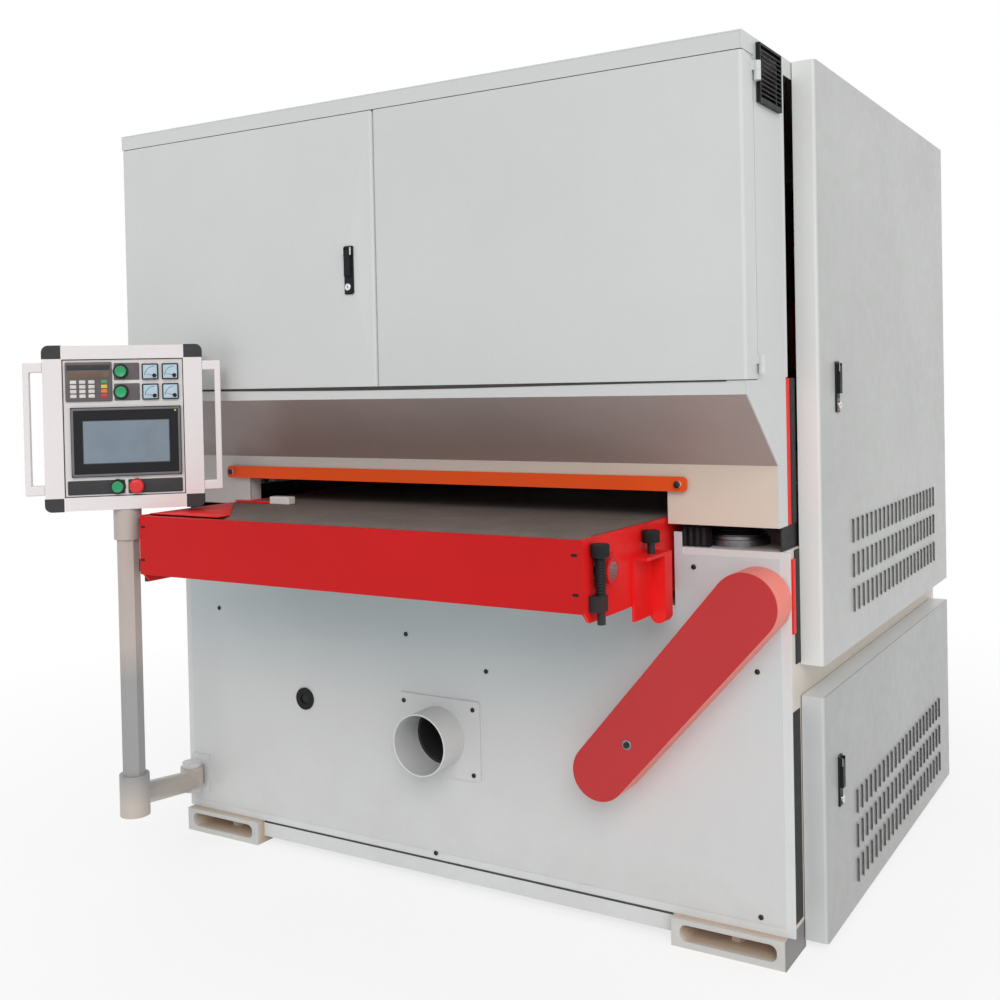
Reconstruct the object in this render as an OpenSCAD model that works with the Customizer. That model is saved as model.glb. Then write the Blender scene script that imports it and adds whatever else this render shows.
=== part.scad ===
// Wide belt sander: a fixed base with the feed conveyor, and a head that rises on four screws.
// X runs to the right, Y to the back and Z up. Lengths are in millimetres.

/* [Cabinet] */
// Width of the sheet-metal body
body_w = 1900; // [1800:10:2000]
// Depth of the upper cabinet from the door faces to the back wall
head_d = 2036; // [2000:2:2100]
// Height of the front doors
door_h = 704; // [690:1:760]
// Depth of the front door pans
door_depth = 70; // [60:1:80]
// Distance of the seam between the front doors from the left side
seam_x = 915; // [850:1:980]
// Height of the fixed roof band above the front doors
roof_h = 40; // [30:1:60]
// Sheet thickness of covers and doors
sheet = 3; // [2:0.5:4]
// Gap around the doors
seam_gap = 2; // [1:0.5:3]

/* [Feed mouth] */
// Height of the upright lip under the front doors
lip_h = 30; // [20:1:40]
// Distance from the door faces back to the jaw
hood_run = 200; // [190:1:205]
// Height of the slanted hood
hood_rise = 168; // [150:1:190]
// Height of the upright jaw
jaw_h = 143; // [138:1:160]
// Left jamb of the mouth, from the left side of the body
mouth_l = 287; // [284:1:290]
// Right jamb of the mouth, from the right side of the body
mouth_right = 275; // [272:1:280]
// Height of the mouth above the lower edge of the safety bar
mouth_over = 22; // [15:1:30]
// Height of the safety bar
bar_h = 35; // [30:1:45]
// Thickness of the safety bar
bar_t = 8; // [6:1:10]
// Travel of the safety bar when it is pushed in
bar_travel = 5; // [3:1:6]

/* [Base] */
// Height of the feet under the base
foot_h = 68; // [55:1:80]
// Width of each foot
foot_w = 285; // [240:5:320]
// Depth of each foot
foot_d = 150; // [130:5:180]
// Height of the base top above the floor
base_top = 963; // [955:1:970]
// Setback of the base front from the jaw
base_setback = 21; // [18:1:26]
// Height of the channel floor that carries the conveyor
channel_z = 820; // [800:1:830]
// Plate thickness of the welded base
plate = 6; // [5:0.5:8]
// Open height between the base and the head at rest
lift_gap = 58; // [57:1:70]

/* [Conveyor] */
// Height of the feed belt above the floor
belt_top = 1034; // [1030:1:1038]
// Clear height between the feed belt and the sanding belts at rest
pass_h = 66; // [63:1:70]
// Reach of the conveyor beyond the door faces, front and back
conveyor_reach = 236; // [220:1:260]
// Radius of the feed rollers
feed_roller_r = 70; // [66:1:72]
// Thickness of the feed belt
feed_belt_t = 5; // [4:0.5:6]
// Height of the red front cover
cover_h = 156; // [145:1:160]

/* [Sanding heads] */
// Radius of the contact drums
drum_r = 120; // [115:1:125]
// Radius of the tension rollers
tension_r = 80; // [75:1:85]
// Height of the tension roller axis above the drum axis
tension_rise = 660; // [640:5:680]
// Distance between the two drum axes
drum_pitch = 636; // [630:2:650]
// Free width between each edge of the sanding belts and the jambs of the mouth
sanding_free = 19; // [17:1:30]
// Thickness of the sanding belts
sanding_t = 1.5; // [1:0.1:2]
// Radius of the press rollers
press_r = 45; // [40:1:48]

/* [Side doors] */
// Depth of the side doors
side_depth = 58; // [50:1:70]
// Front edge of the side doors, from the front door faces
side_front = 335; // [325:1:345]
// Distance of the side doors from the back wall
side_back = 279; // [270:1:300]
// Lower edge of the upper side door
upper_low = 682; // [675:1:700]
// Lower edge of the lower side door
lower_low = 20; // [12:1:30]
// Height of the lower side door
lower_h = 587; // [570:1:590]

/* [Control panel] */
// Width of the control panel
panel_w = 410; // [400:2:430]
// Height of the control panel
panel_h = 440; // [430:2:470]
// Depth of the control panel
panel_d = 80; // [70:2:90]
// Height of the lower edge of the control panel
panel_z = 1048; // [1046:1:1060]
// Turn of the panel towards the right
panel_turn = 45; // [40:1:48]
// Place of the column from the left side of the body
column_x = 215; // [205:1:220]
// Distance of the column in front of the door faces
column_out = 205; // [202:1:215]

/* [Hidden] */
$fn = 64;

// Clearances, the gap between plates that are welded edge to edge, and the overrun of every cut
run_gap = 0.3;
shaft_gap = 0.05;
weld_gap = 0.3;
over = 1;
// Steps of each arc in a belt loop
arc_steps = 24;
// Steps of each rounded corner
corner_steps = 6;

// Heights of the head at rest
jaw_z = base_top + lift_gap;
hood_z = jaw_z + jaw_h;
lip_z = hood_z + hood_rise;
door_z = lip_z + lip_h + seam_gap;
roof_z = door_z + door_h + seam_gap;
head_top = roof_z + roof_h;
cab_front = door_depth + seam_gap;
mid_y = head_d / 2;
mouth_w = body_w - mouth_l - mouth_right;
mouth_r = mouth_l + mouth_w;
sanding_w = mouth_w - 2 * sanding_free;
side_len = head_d - side_front - side_back;
bar_z = belt_top + pass_h;

// Base
base_front = hood_run + base_setback;
base_rear = head_d - base_front;
base_border = 22;
base_out = 14;
sill_low = 21;
channel_l = mouth_l - plate / 2;
channel_r = mouth_r + plate;
tower_tab = 20;
tower_tab_gap = 21;
tower_tab_z = jaw_z - tower_tab_gap;
window_margin = 60;
foot_out = 25;
foot_floor = 16;
foot_cheek = 22;
foot_roof = 12;
foot_recess_r = 17;
level_bolt_r = 12;
level_nut_r = 20;
level_nut_h = 14;

// Dust port and cable entry on the base front
port_x = 934;
port_z = 410;
port_r = 82;
port_wall = 3;
port_len = 100;
port_flange_w = 265;
port_flange_h = 215;
port_flange_t = 5;
grommet_x = 462;
grommet_z = 456;
grommet_r = 32;
grommet_hole_r = 24;
grommet_bore_r = 15;
grommet_lip = 4;

// Lift drive
guard_top_in = 59;
guard_top_down = 113;
guard_low_in = 432;
guard_low_up = 351;
guard_top = [body_w - guard_top_in, base_top - guard_top_down];
guard_low = [body_w - guard_low_in, foot_h + guard_low_up];
guard_top_r = 78;
guard_low_r = 70;
guard_depth = 105;
guard_wall = 2.5;
motor_flange = 190;
motor_flange_t = 14;
lift_motor_r = 82;
lift_motor_len = 300;
gear_head_len = 110;
jack_x = 155;
jack_in = 124;
jack_y = base_front + jack_in;
jack_box = 150;
jack_box_h = 150;
jack_worm_over = 48;
jack_flange_r = 80;
jack_flange_t = 15;
jack_sleeve_r = 48;
screw_r = 30;
screw_len = 480;
screw_flange_r = 74;
screw_flange_t = 16;

// Conveyor
conv_gap = 6;
conv_l = mouth_l + conv_gap;
conv_r = mouth_r - conv_gap;
conv_plate = 8;
conv_foot_h = 34;
conv_cut = 26;
conv_low = channel_z + conv_foot_h;
cover_drop = 2;
cover_gap = 10;
cover_flange = 18;
conv_front = -conveyor_reach + sheet;
conv_back = head_d - conv_front;
feed_outer_r = feed_roller_r + run_gap + feed_belt_t;
roller_z = belt_top - feed_outer_r;
idler_y = conv_front + cover_gap + feed_outer_r;
drive_y = head_d - idler_y;
feed_edge = 8;
feed_l = conv_l + conv_plate + feed_edge;
feed_r = conv_r - conv_plate - feed_edge;
feed_shaft_r = 20;
bed_t = 16;
bed_gap = 20;
tie_w = 60;
tie_h = 34;
conv_foot = 120;
take_up = 66;
take_up_t = 28;
take_up_boss_r = 29;
stud_r = 9;
stud_ahead = 44;
stud_len = 172;
stud_block = 42;
stud_block_t = 30;
stud_block_h = 34;
stud_block_up = 28;
knob_r = 19;
knob_h = 28;
knob_drop = 12;
track_stud_h = 26;
bracket_w = 40;
bracket_y = 0;
bracket_len = 140;
bracket_drop = 159;
bracket_low = roller_z - bracket_drop;
shelf_t = 8;
lug_r = 20;
gear_w = 76;
gear_box = 150;
gear_motor_len = 210;

// Head frame
rail_w = 120;
rail_up = 69;
rail_z = jaw_z + rail_up;
rail_h = 42;
beam_y = 300;
beam_d = 100;
beam_up = 110;
beam_z = rail_z + beam_up;
beam_h = 130;
post_w = 47;
post_front = 240;
post_d = 90;
side_plate_t = 26;
side_plate_free = 34;
side_plate_y = 470;
side_plate_rise = 578;
arm_w = 130;
arm_h = 210;
arm_wall = 12;
arm_rise = 170;
arm_free = 24;
arm_bracket_w = 150;
arm_bracket_t = 24;
press_plate = 20;

// Sanding heads
drum_y = [mid_y - drum_pitch / 2, mid_y + drum_pitch / 2];
drum_z = bar_z + sanding_t + run_gap + drum_r;
tension_z = drum_z + tension_rise;
sanding_l = mouth_l + sanding_free;
drum_end = 10;
drum_l = sanding_l - drum_end;
drum_right = sanding_l + sanding_w + drum_end;
side_plate_x = drum_l - side_plate_free - side_plate_t;
side_plate_top = drum_z + side_plate_rise;
arm_end = drum_right + arm_free;
drum_shaft_r = 30;
drum_shaft_free = 10;
bearing_w = 120;
bearing_t = 36;
tension_shaft_r = 20;
yoke_t = 14;
yoke_gap = 5;
yoke_bar_d = 60;
yoke_bar_h = 36;
yoke_eye_r = 34;
yoke_drop = 118;
rod_r = 12;
cylinder_r = 42;
cylinder_h = 98;
press_ahead = 270;
press_low = 1;
press_y = [drum_y[0] - press_ahead, drum_y[1] + press_ahead];
press_z = bar_z - press_low + press_r;
press_shaft_r = 15;

// Main drive
groove_w = 36;
rim_w = 5;
groove_step = rim_w + groove_w;
pulley_free = 5;
pulley_x = side_plate_x - bearing_t - pulley_free - 2 * groove_step - rim_w;
motor_groove_r = 78;
drum_groove_r = 70;
rim_h = 14;
v_belt_t = 9;
v_belt_w = 30;
main_y = mid_y;
main_rise = 348;
main_z = drum_z + main_rise;
main_r = 128;
main_len = 430;
main_flange_r = 150;
main_flange_t = 20;
main_shaft_r = 24;
fin_count = 20;
fin_h = 10;
fin_w = 5;

// Dust hoods behind the drums
hood_gap = 12;
hood_d = 52;
hood_side_gap = 28;
hood_right_in = 96;
hood_h = 238;
hood_l = side_plate_x + side_plate_t + main_len + hood_side_gap;
hood_r = drum_right - hood_right_in;
hood_low = drum_z - drum_r / 2;
hood_high = hood_low + hood_h;
duct_r = 75;
duct_x = (hood_l + hood_r) / 2;
duct_box_h = 90;
duct_rise = 110;
duct_flange_r = 100;
duct_flange_t = 4;

// Doors, hinges and latches
pan_r = 9;
frame_land = 40;
pin_r = 5;
knuckle_r = 8;
leaf_t = 3;
leaf_w = 11;
hinge_h = 42;
hinge_inset = 12;
front_pin_out = 9;
side_pin_out = 14;
side_pin_back = 10;
side_rear = side_front + side_len;
upper_h = head_top - upper_low;
window_front = 260;
latch_w = 28;
latch_h = 124;
latch_t = 4;
latch_cheek = 4;
lever_h = 84;
lever_t = 8;
lever_pin_r = 3;
lever_pin_drop = 10;
lever_gap = 0.5;
front_latch_in = 81;
front_latch_up = 302;
upper_latch_in = 138;
upper_latch_up = 658;
lower_latch_in = 113;
lower_latch_up = 360;
front_latch = [seam_x - front_latch_in, door_z + front_latch_up];
upper_latch = [side_front + upper_latch_in, upper_low + upper_latch_up];
lower_latch = [side_front + lower_latch_in, lower_low + lower_latch_up];

// Louvres of the side doors
louvre_pitch = 45;
louvre_len = 62;
louvre_w = 26;
louvre_rise = 7;
louvre_skin = 1.6;
louvre_slot = 10;
louvre_rows = 3;
louvre_row_pitch = 88;
louvre_from = 260;
upper_louvre_free = 190;
lower_louvre_free = 150;
upper_louvre_count = 1 + floor((side_len - louvre_from - upper_louvre_free) / louvre_pitch);
lower_louvre_count = 1 + floor((side_len - louvre_from - lower_louvre_free) / louvre_pitch);
upper_louvre_up = 84;
lower_louvre_up = 56;

// Vent in the right side strip
vent_y = 89;
vent_w = 147;
vent_h = 130;
vent_t = 10;
vent_slats = 11;
vent_frame = 5;
vent_foot = 10;
vent_drop = 9;
slat_t = 2.5;
slat_tilt = 35;

// Electrical plate behind the left door
elec_side = 88;
elec_margin = 66;
elec_l = elec_side;
elec_w = seam_x - 2 * elec_side;
elec_low = door_z + elec_margin;
elec_h = door_h - 2 * elec_margin;
elec_y = 236;
elec_t = 4;
standoff_r = 10;
device_rows = 3;
device_cols = 6;
device_w = 72;
device_h = 96;
device_d = 70;

// Control panel arm
arm_x = 6;
arm_out = 46;
arm_z = 148;
arm_tube = 60;
arm_cut = 15;
arm_eye_r = 34;
arm_pin_r = 12;
column_tube = 58;
elbow_r = 40;
elbow_h = 112;
elbow_drop = 52;
arm_lift = 84;
arm_knee = 60;
collar_r = 37;
collar_h = 84;
swivel_r = 24;
swivel_len = 50;
flange_w = 70;
flange_h = 112;
flange_t = 10;
lug_t = 14;

// Control panel face, measured from its upper left corner
side_rail = 49;
end_rail = 36;
corner_proud = 1.5;
face_w = panel_w - 2 * side_rail;
face_h = panel_h - 2 * end_rail;
face_t = 3;
face_inset = 6;
handle_reach = 49;
handle_t = 16;
handle_d = 30;
handle_h = 352;
handle_leg = 26;
function face_box(s) = [s[0] * face_w, s[1] * face_h, s[2] * face_w, s[3] * face_h];
keypad_shares = [0.026, 0.022, 0.381, 0.285];
keypad_place = face_box(keypad_shares);
keypad_t = 5;
key_size = 17;
key_h = 2;
screen_shares = [0.061, 0.350, 0.910, 0.505];
screen_place = face_box(screen_shares);
screen_t = 9;
glass_w = 226;
glass_h = 118;
glass_deep = 2;
meter_size = 43;
meter_t = 7;
meter_shares = [[0.654, 0.038], [0.821, 0.038], [0.654, 0.185], [0.821, 0.185]];
meter_places = [for (s = meter_shares) [s[0] * face_w, s[1] * face_h]];
button_shares = [[0.481, 0.092], [0.481, 0.242], [0.433, 0.932], [0.590, 0.932]];
button_places = [for (s = button_shares) [s[0] * face_w, s[1] * face_h]];
plate_shares = [[0.423, 0.030, 0.212, 0.125], [0.423, 0.179, 0.212, 0.125],
  [0.026, 0.880, 0.468, 0.103], [0.519, 0.880, 0.455, 0.103]];
button_plates = [for (s = plate_shares) face_box(s)];
plate_t = 1.5;
bezel_r = 19;
bezel_t = 3;
button_r = 15;
stop_r = 20;
button_h = 12;
button_travel = 4;
stem_r = 8;
stem_len = 24;

// Colours
PALE = [0.80, 0.81, 0.81];
GREY = [0.66, 0.67, 0.68];
BEIGE = [0.78, 0.72, 0.66];
TAUPE = [0.42, 0.39, 0.37];
RED = [0.76, 0.14, 0.15];
ORANGE = [0.89, 0.33, 0.14];
BLACK = [0.10, 0.10, 0.11];
STEEL = [0.62, 0.63, 0.65];
RUBBER = [0.25, 0.24, 0.23];
GRIT = [0.45, 0.28, 0.18];
GREEN = [0.10, 0.60, 0.35];
BLUE = [0.40, 0.48, 0.60];

// The origin lies under the middle of the whole machine
panel_reach = panel_w / 2 + handle_reach;
far_left = -front_pin_out - knuckle_r;
far_right = body_w + side_depth + latch_t + lever_t;
far_front = -column_out - panel_reach * sin(panel_turn) - panel_d / 2 * cos(panel_turn);
far_back = head_d + conveyor_reach;
module placed() {
  translate([-(far_left + far_right) / 2, -(far_front + far_back) / 2, 0]) children();
}

// A block given by its two corners
module block(low, high) {
  translate(low) cube(high - low);
}

// An XZ outline carried along Y, and a YZ outline carried along X
module along_y(from, to) {
  translate([0, to, 0]) rotate([90, 0, 0]) linear_extrude(height = to - from) children();
}
module along_x(from, to) {
  translate([from, 0, 0]) rotate([90, 0, 90]) linear_extrude(height = to - from) children();
}

// A round bar along X or Y between two ends
module bar_x(from, to, y, z, r) {
  translate([from, y, z]) rotate([0, 90, 0]) cylinder(r = r, h = to - from);
}
module bar_y(from, to, x, z, r) {
  translate([x, from, z]) rotate([-90, 0, 0]) cylinder(r = r, h = to - from);
}

// Both sides of the machine, and both ends
module both_sides() {
  children();
  translate([body_w, 0, 0]) mirror([1, 0, 0]) children();
}
module both_ends() {
  children();
  translate([0, head_d, 0]) mirror([0, 1, 0]) children();
}

// Outline round two circles, the first at zero and the second at distance d on the X axis.
// Each arc stands just outside its circle, so its flats clear the round piece inside.
function loop_arc(r, from, to) =
  let (step = (to - from) / arc_steps)
  [for (i = [0 : arc_steps]) r / cos(step / 2) * [cos(from + i * step), sin(from + i * step)]];
function loop_outline(d, r1, r2) =
  let (tangent = acos((r1 - r2) / d))
  concat(loop_arc(r1, tangent, 360 - tangent),
    [for (p = loop_arc(r2, -tangent, tangent)) p + [d, 0]]);

// A thin band round two pulleys in the YZ plane, from place a to place b
module band(from, to, a, b, r1, r2, t) {
  d = norm(b - a);
  turn = atan2(b[1] - a[1], b[0] - a[0]);
  along_x(from, to) translate(a) rotate(turn) difference() {
    polygon(loop_outline(d, r1 + t, r2 + t));
    polygon(loop_outline(d, r1, r2));
  }
}

// Points of an arc, and a rectangle with round corners
function arc_points(c, r, from, to) =
  [for (i = [0 : corner_steps]) let (a = from + (to - from) * i / corner_steps) c + r * [cos(a), sin(a)]];
module round_plate(w, h, r) {
  polygon(concat(arc_points([r, r], r, 180, 270), arc_points([w - r, r], r, 270, 360),
    arc_points([w - r, h - r], r, 0, 90), arc_points([r, h - r], r, 90, 180)));
}

// Square tube outline with cut corners
module cut_square(w, c) {
  h = w / 2;
  polygon([[h, h - c], [h - c, h], [c - h, h], [-h, h - c],
    [-h, c - h], [c - h, -h], [h - c, -h], [h, c - h]]);
}

// Outline of the base: two towers with the conveyor channel between them
module base_outline(out) {
  polygon([[-out, foot_h], [body_w + out, foot_h], [body_w + out, base_top], [channel_r, base_top],
    [channel_r, channel_z], [channel_l, channel_z], [channel_l, base_top], [-out, base_top]]);
}

// Places of the four lift screws
module at_jacks() {
  both_ends() both_sides() translate([jack_x, jack_y, 0]) children();
}

// Hinge of a door: the fixed half with its pin, and the moving half.
// The pin stands on the Z axis, the wall lies behind the pin and the door in front of it.
module hinge_fixed() {
  difference() {
    union() {
      cylinder(r = knuckle_r, h = hinge_h / 2);
      children();
    }
    translate([0, 0, hinge_h / 2]) cylinder(r = knuckle_r + run_gap, h = hinge_h);
  }
  cylinder(r = pin_r, h = hinge_h);
}
module hinge_moving() {
  translate([0, 0, hinge_h / 2 + run_gap]) difference() {
    union() {
      cylinder(r = knuckle_r, h = hinge_h / 2 - run_gap);
      children();
    }
    translate([0, 0, -over]) cylinder(r = pin_r + shaft_gap, h = hinge_h + 2 * over);
  }
}

// Latch tray on a door face, with cheeks and a pin for its lever. The face is the plane Y = 0.
module latch_tray() {
  inner = latch_w / 2 - latch_cheek;
  difference() {
    translate([-latch_w / 2, -latch_t, -latch_h / 2]) cube([latch_w, latch_t, latch_h]);
    translate([-inner, -latch_t - over, latch_h / 2 - lever_h - latch_cheek])
      cube([2 * inner, latch_t / 2 + over, lever_h]);
  }
  for (s = [-1, 1]) translate([s * (inner + latch_cheek / 2), 0, latch_h / 2 - latch_cheek])
    translate([-latch_cheek / 2, -latch_t - lever_t, -2 * lever_pin_drop])
      cube([latch_cheek, latch_t + lever_t, 2 * lever_pin_drop]);
  bar_x(-inner - latch_cheek / 2, inner + latch_cheek / 2, -latch_t - lever_t / 2,
    latch_h / 2 - latch_cheek - lever_pin_drop, lever_pin_r);
}

// Lever of a latch, a flat tongue that hangs from the pin and swings out at its lower end
module latch_lever() {
  half = latch_w / 2 - latch_cheek - lever_gap;
  top = latch_h / 2 - latch_cheek - lever_pin_drop;
  difference() {
    union() {
      bar_x(-half, half, -latch_t - lever_t / 2, top, lever_t / 2);
      translate([-half, -latch_t - lever_t, top + 2 * lever_pin_drop - lever_h])
        cube([2 * half, lever_t, lever_h - 2 * lever_pin_drop]);
    }
    bar_x(-half - over, half + over, -latch_t - lever_t / 2, top, lever_pin_r + shaft_gap);
  }
}

// Turns a piece of the front to the right side of the machine
module on_side(y, z) {
  translate([body_w + side_depth, y, z]) rotate([0, 0, 90]) children();
}

// Sheet-metal pan, open at the back. Its face is at Y = 0 and its depth runs to +Y.
module pan_outline(w, depth, r) {
  polygon(concat(arc_points([r, r], r, 180, 270), arc_points([w - r, r], r, 270, 360),
    [[w, depth], [0, depth]]));
}
module pan(w, h, depth) {
  difference() {
    linear_extrude(height = h) pan_outline(w, depth, pan_r);
    translate([sheet, sheet, sheet]) linear_extrude(height = h - 2 * sheet)
      pan_outline(w - 2 * sheet, depth, pan_r - sheet);
  }
}

// One pressed louvre on a pan face: a curved scoop that opens to one side
louvre_r = (louvre_w * louvre_w / 4 + louvre_rise * louvre_rise) / (2 * louvre_rise);
module louvre_scoop() {
  difference() {
    translate([0, louvre_r - louvre_rise, 0]) cylinder(r = louvre_r, h = louvre_len);
    translate([0, louvre_r - louvre_rise, louvre_skin])
      cylinder(r = louvre_r - louvre_skin, h = louvre_len - 2 * louvre_skin);
    translate([-louvre_r, sheet / 2, -over]) cube([2 * louvre_r, 2 * louvre_r, louvre_len + 2 * over]);
    translate([-louvre_r, -louvre_r, -over]) cube([louvre_r, 2 * louvre_r, louvre_len + 2 * over]);
  }
}
module louvre_field(count) {
  for (row = [0 : louvre_rows - 1], i = [0 : count - 1])
    translate([i * louvre_pitch, 0, row * louvre_row_pitch]) children();
}

// Side door: pan with a field of louvres. It is drawn as a front pan and turned to the side.
module side_door(h, louvre_z, count) {
  difference() {
    pan(side_len, h, side_depth - seam_gap);
    translate([louvre_from, -over, louvre_z + louvre_skin]) louvre_field(count)
      cube([louvre_slot, sheet + 2 * over, louvre_len - 2 * louvre_skin]);
  }
  translate([louvre_from, 0, louvre_z]) louvre_field(count) louvre_scoop();
}

// Welded base: plates set edge to edge round two towers and the channel between them,
// with a window behind the lower side door
module base_wall(low, high) {
  block([low[0], base_front + sheet + plate + weld_gap, low[1]],
    [high[0], base_rear - plate - weld_gap, high[1]]);
}
module base_frame() color(GREY) placed() {
  low = foot_h + plate + weld_gap;
  high = base_top - plate - weld_gap;
  difference() {
    along_y(base_front + sheet, base_front + sheet + plate) base_outline(base_out);
    bar_y(base_front, base_front + 2 * plate, port_x, port_z, port_r - port_wall);
    bar_y(base_front, base_front + 2 * plate, grommet_x, grommet_z, grommet_r);
  }
  along_y(base_rear - plate, base_rear) base_outline(0);
  for (y = [base_front + sheet, base_rear - plate])
    block([foot_w + seam_gap, y, sill_low], [body_w - foot_w - seam_gap, y + plate, foot_h - weld_gap]);
  base_wall([0, foot_h], [body_w, foot_h + plate]);
  base_wall([0, low], [plate, high]);
  difference() {
    base_wall([body_w - plate, low], [body_w, high]);
    block([body_w - 2 * plate, side_front + window_margin, lower_low + window_margin + foot_h],
      [body_w + over, side_rear - window_margin, lower_low + lower_h - window_margin]);
  }
  difference() {
    union() {
      base_wall([0, base_top - plate], [channel_l, base_top]);
      base_wall([channel_r, base_top - plate], [body_w, base_top]);
    }
    at_jacks() translate([0, 0, base_top - 2 * plate]) cylinder(r = jack_sleeve_r + over, h = 3 * plate);
  }
  base_wall([channel_l - plate, channel_z - plate], [channel_l, high]);
  base_wall([channel_r, channel_z - plate], [channel_r + plate, high]);
  base_wall([channel_l + weld_gap, channel_z - plate], [channel_r - weld_gap, channel_z]);
  for (z = lower_hinges) translate([body_w + side_pin_out, side_rear + side_pin_back, z]) hinge_fixed()
    translate([weld_gap - side_pin_out, -knuckle_r, 0])
      cube([side_pin_out - weld_gap, 2 * knuckle_r, hinge_h / 2]);
}
lower_hinges = [lower_low + foot_h + hinge_h, lower_low + lower_h - 3 * hinge_h];
upper_hinges = [jaw_z + 2 * hinge_h, (jaw_z + roof_z) / 2, roof_z - 3 * hinge_h];
front_hinges = [door_z + hinge_inset, roof_z - seam_gap - hinge_inset - hinge_h];

// Front cover sheet of the base, cut for the channel, the port and the cable entry
module base_front_panel() color(PALE) placed() difference() {
  along_y(base_front, base_front + sheet) difference() {
    union() {
      translate([base_border - base_out, foot_h + base_border])
        square([body_w + 2 * base_out - 2 * base_border, base_top - foot_h - 2 * base_border + plate]);
      translate([channel_r, channel_z]) square([tower_tab, tower_tab_z - channel_z]);
    }
    translate([channel_l, channel_z - plate]) square([channel_r - channel_l, base_top]);
    translate([grommet_x, grommet_z]) circle(r = grommet_hole_r);
    translate([port_x, port_z]) circle(r = port_r - port_wall);
  }
}

// Four box feet, each with a pocket and a levelling bolt that ends on the floor
module levelling_feet() color(GREY) placed() both_ends() both_sides() {
  difference() {
    block([0, base_front - foot_out, 0], [foot_w, base_front - foot_out + foot_d, foot_h]);
    along_y(base_front - foot_out - over, base_front - foot_out + foot_d - foot_cheek)
      translate([foot_cheek, foot_floor])
      round_plate(foot_w - 2 * foot_cheek, foot_h - foot_floor - foot_roof, foot_recess_r);
    translate([foot_w / 2, base_front + foot_d / 3, -over])
      cylinder(r = level_bolt_r + run_gap, h = foot_h + over - foot_roof);
  }
  translate([foot_w / 2, base_front + foot_d / 3, 0]) {
    cylinder(r = level_bolt_r, h = foot_h - foot_roof);
    translate([0, 0, foot_floor]) cylinder(r = level_nut_r, h = level_nut_h, $fn = 6);
  }
}

// Dust port: flange and open spigot
module front_dust_port() color(PALE) placed() difference() {
  union() {
    translate([port_x, base_front, port_z]) rotate([90, 0, 0]) linear_extrude(height = port_flange_t)
      translate([-port_flange_w / 2, -port_flange_h / 2])
        round_plate(port_flange_w, port_flange_h, port_flange_t * 2);
    bar_y(base_front - port_len, base_front, port_x, port_z, port_r);
  }
  bar_y(base_front - port_len - over, base_front + over, port_x, port_z, port_r - port_wall);
}

// Cable grommet, a ring that sits in the front cover sheet
module cable_grommet() color(BLACK) placed() difference() {
  union() {
    bar_y(base_front - grommet_lip, base_front, grommet_x, grommet_z, grommet_r);
    bar_y(base_front - over, base_front + sheet + grommet_lip, grommet_x, grommet_z, grommet_hole_r);
  }
  bar_y(base_front - 2 * grommet_lip, base_front + 2 * sheet + 2 * grommet_lip,
    grommet_x, grommet_z, grommet_bore_r);
}

// Lift motor with its gear head, flanged to the base behind the guard
module lift_motor() color(BLUE) placed() translate([guard_low[0], base_front + sheet + plate, guard_low[1]]) {
  translate([-motor_flange / 2, 0, -motor_flange / 2]) cube([motor_flange, motor_flange_t, motor_flange]);
  bar_y(0, gear_head_len, 0, 0, lift_motor_r);
  bar_y(gear_head_len, gear_head_len + lift_motor_len, 0, 0, lift_motor_r - fin_h);
  for (i = [0 : fin_count - 1]) rotate([0, i * 360 / fin_count, 0])
    translate([-fin_w / 2, gear_head_len, 0]) cube([fin_w, lift_motor_len - 2 * fin_h, lift_motor_r - fin_w]);
}

// Guard of the lift chain, a closed cover with round ends
module guard_outline(inset) {
  d = norm(guard_top - guard_low);
  translate(guard_low) rotate(atan2(guard_top[1] - guard_low[1], guard_top[0] - guard_low[0]))
    polygon(loop_outline(d, guard_low_r - inset, guard_top_r - inset));
}
module lift_chain_guard() color(RED) placed() difference() {
  along_y(base_front - guard_depth, base_front) guard_outline(0);
  along_y(base_front - guard_depth + guard_wall, base_front + over) guard_outline(guard_wall);
}

// Screw jacks in the towers, each with its worm box, sleeve and top flange
module jack_housings() color(STEEL) placed() at_jacks() difference() {
  union() {
    translate([-jack_box / 2 - jack_worm_over, -jack_box / 2, base_top - plate - jack_box_h])
      cube([jack_box + jack_worm_over, jack_box, jack_box_h]);
    translate([0, 0, base_top - 2 * plate]) cylinder(r = jack_sleeve_r, h = 3 * plate);
    translate([0, 0, base_top]) cylinder(r = jack_flange_r, h = jack_flange_t);
  }
  translate([0, 0, base_top - plate - jack_box_h - over])
    cylinder(r = screw_r + shaft_gap, h = jack_box_h + jack_flange_t + plate + 2 * over);
}

// Conveyor frame: side plates, the bed under the belt, ties and the feet in the channel
module conveyor_side() {
  difference() {
    along_x(conv_l, conv_l + conv_plate) polygon([[conv_front, conv_low + conv_cut],
      [conv_front + conv_cut, conv_low], [conv_back - conv_cut, conv_low],
      [conv_back, conv_low + conv_cut], [conv_back, belt_top], [conv_front, belt_top]]);
    for (y = [idler_y, drive_y])
      bar_x(conv_l - over, conv_l + conv_plate + over, y, roller_z, 2 * feed_shaft_r);
  }
  for (y = [base_front + foot_d, base_rear - foot_d - conv_foot])
    block([conv_l, y, channel_z], [conv_l + tie_w, y + conv_foot, conv_low - weld_gap]);
}
module conveyor_bracket() {
  difference() {
    block([conv_r + weld_gap, bracket_y, bracket_low + lug_r],
      [conv_r + bracket_w, bracket_y + bracket_len, roller_z]);
    translate([conv_r + conv_plate, bracket_y - over, bracket_low])
      cube([bracket_w, bracket_len - bracket_w, roller_z]);
  }
  bar_y(bracket_y + bracket_len - bracket_w, bracket_y + bracket_len, conv_r + weld_gap + lug_r,
    bracket_low + lug_r, lug_r);
  block([conv_r + weld_gap, bracket_y, roller_z],
    [conv_r + bracket_w, bracket_y + bracket_len, roller_z + shelf_t]);
}
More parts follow.
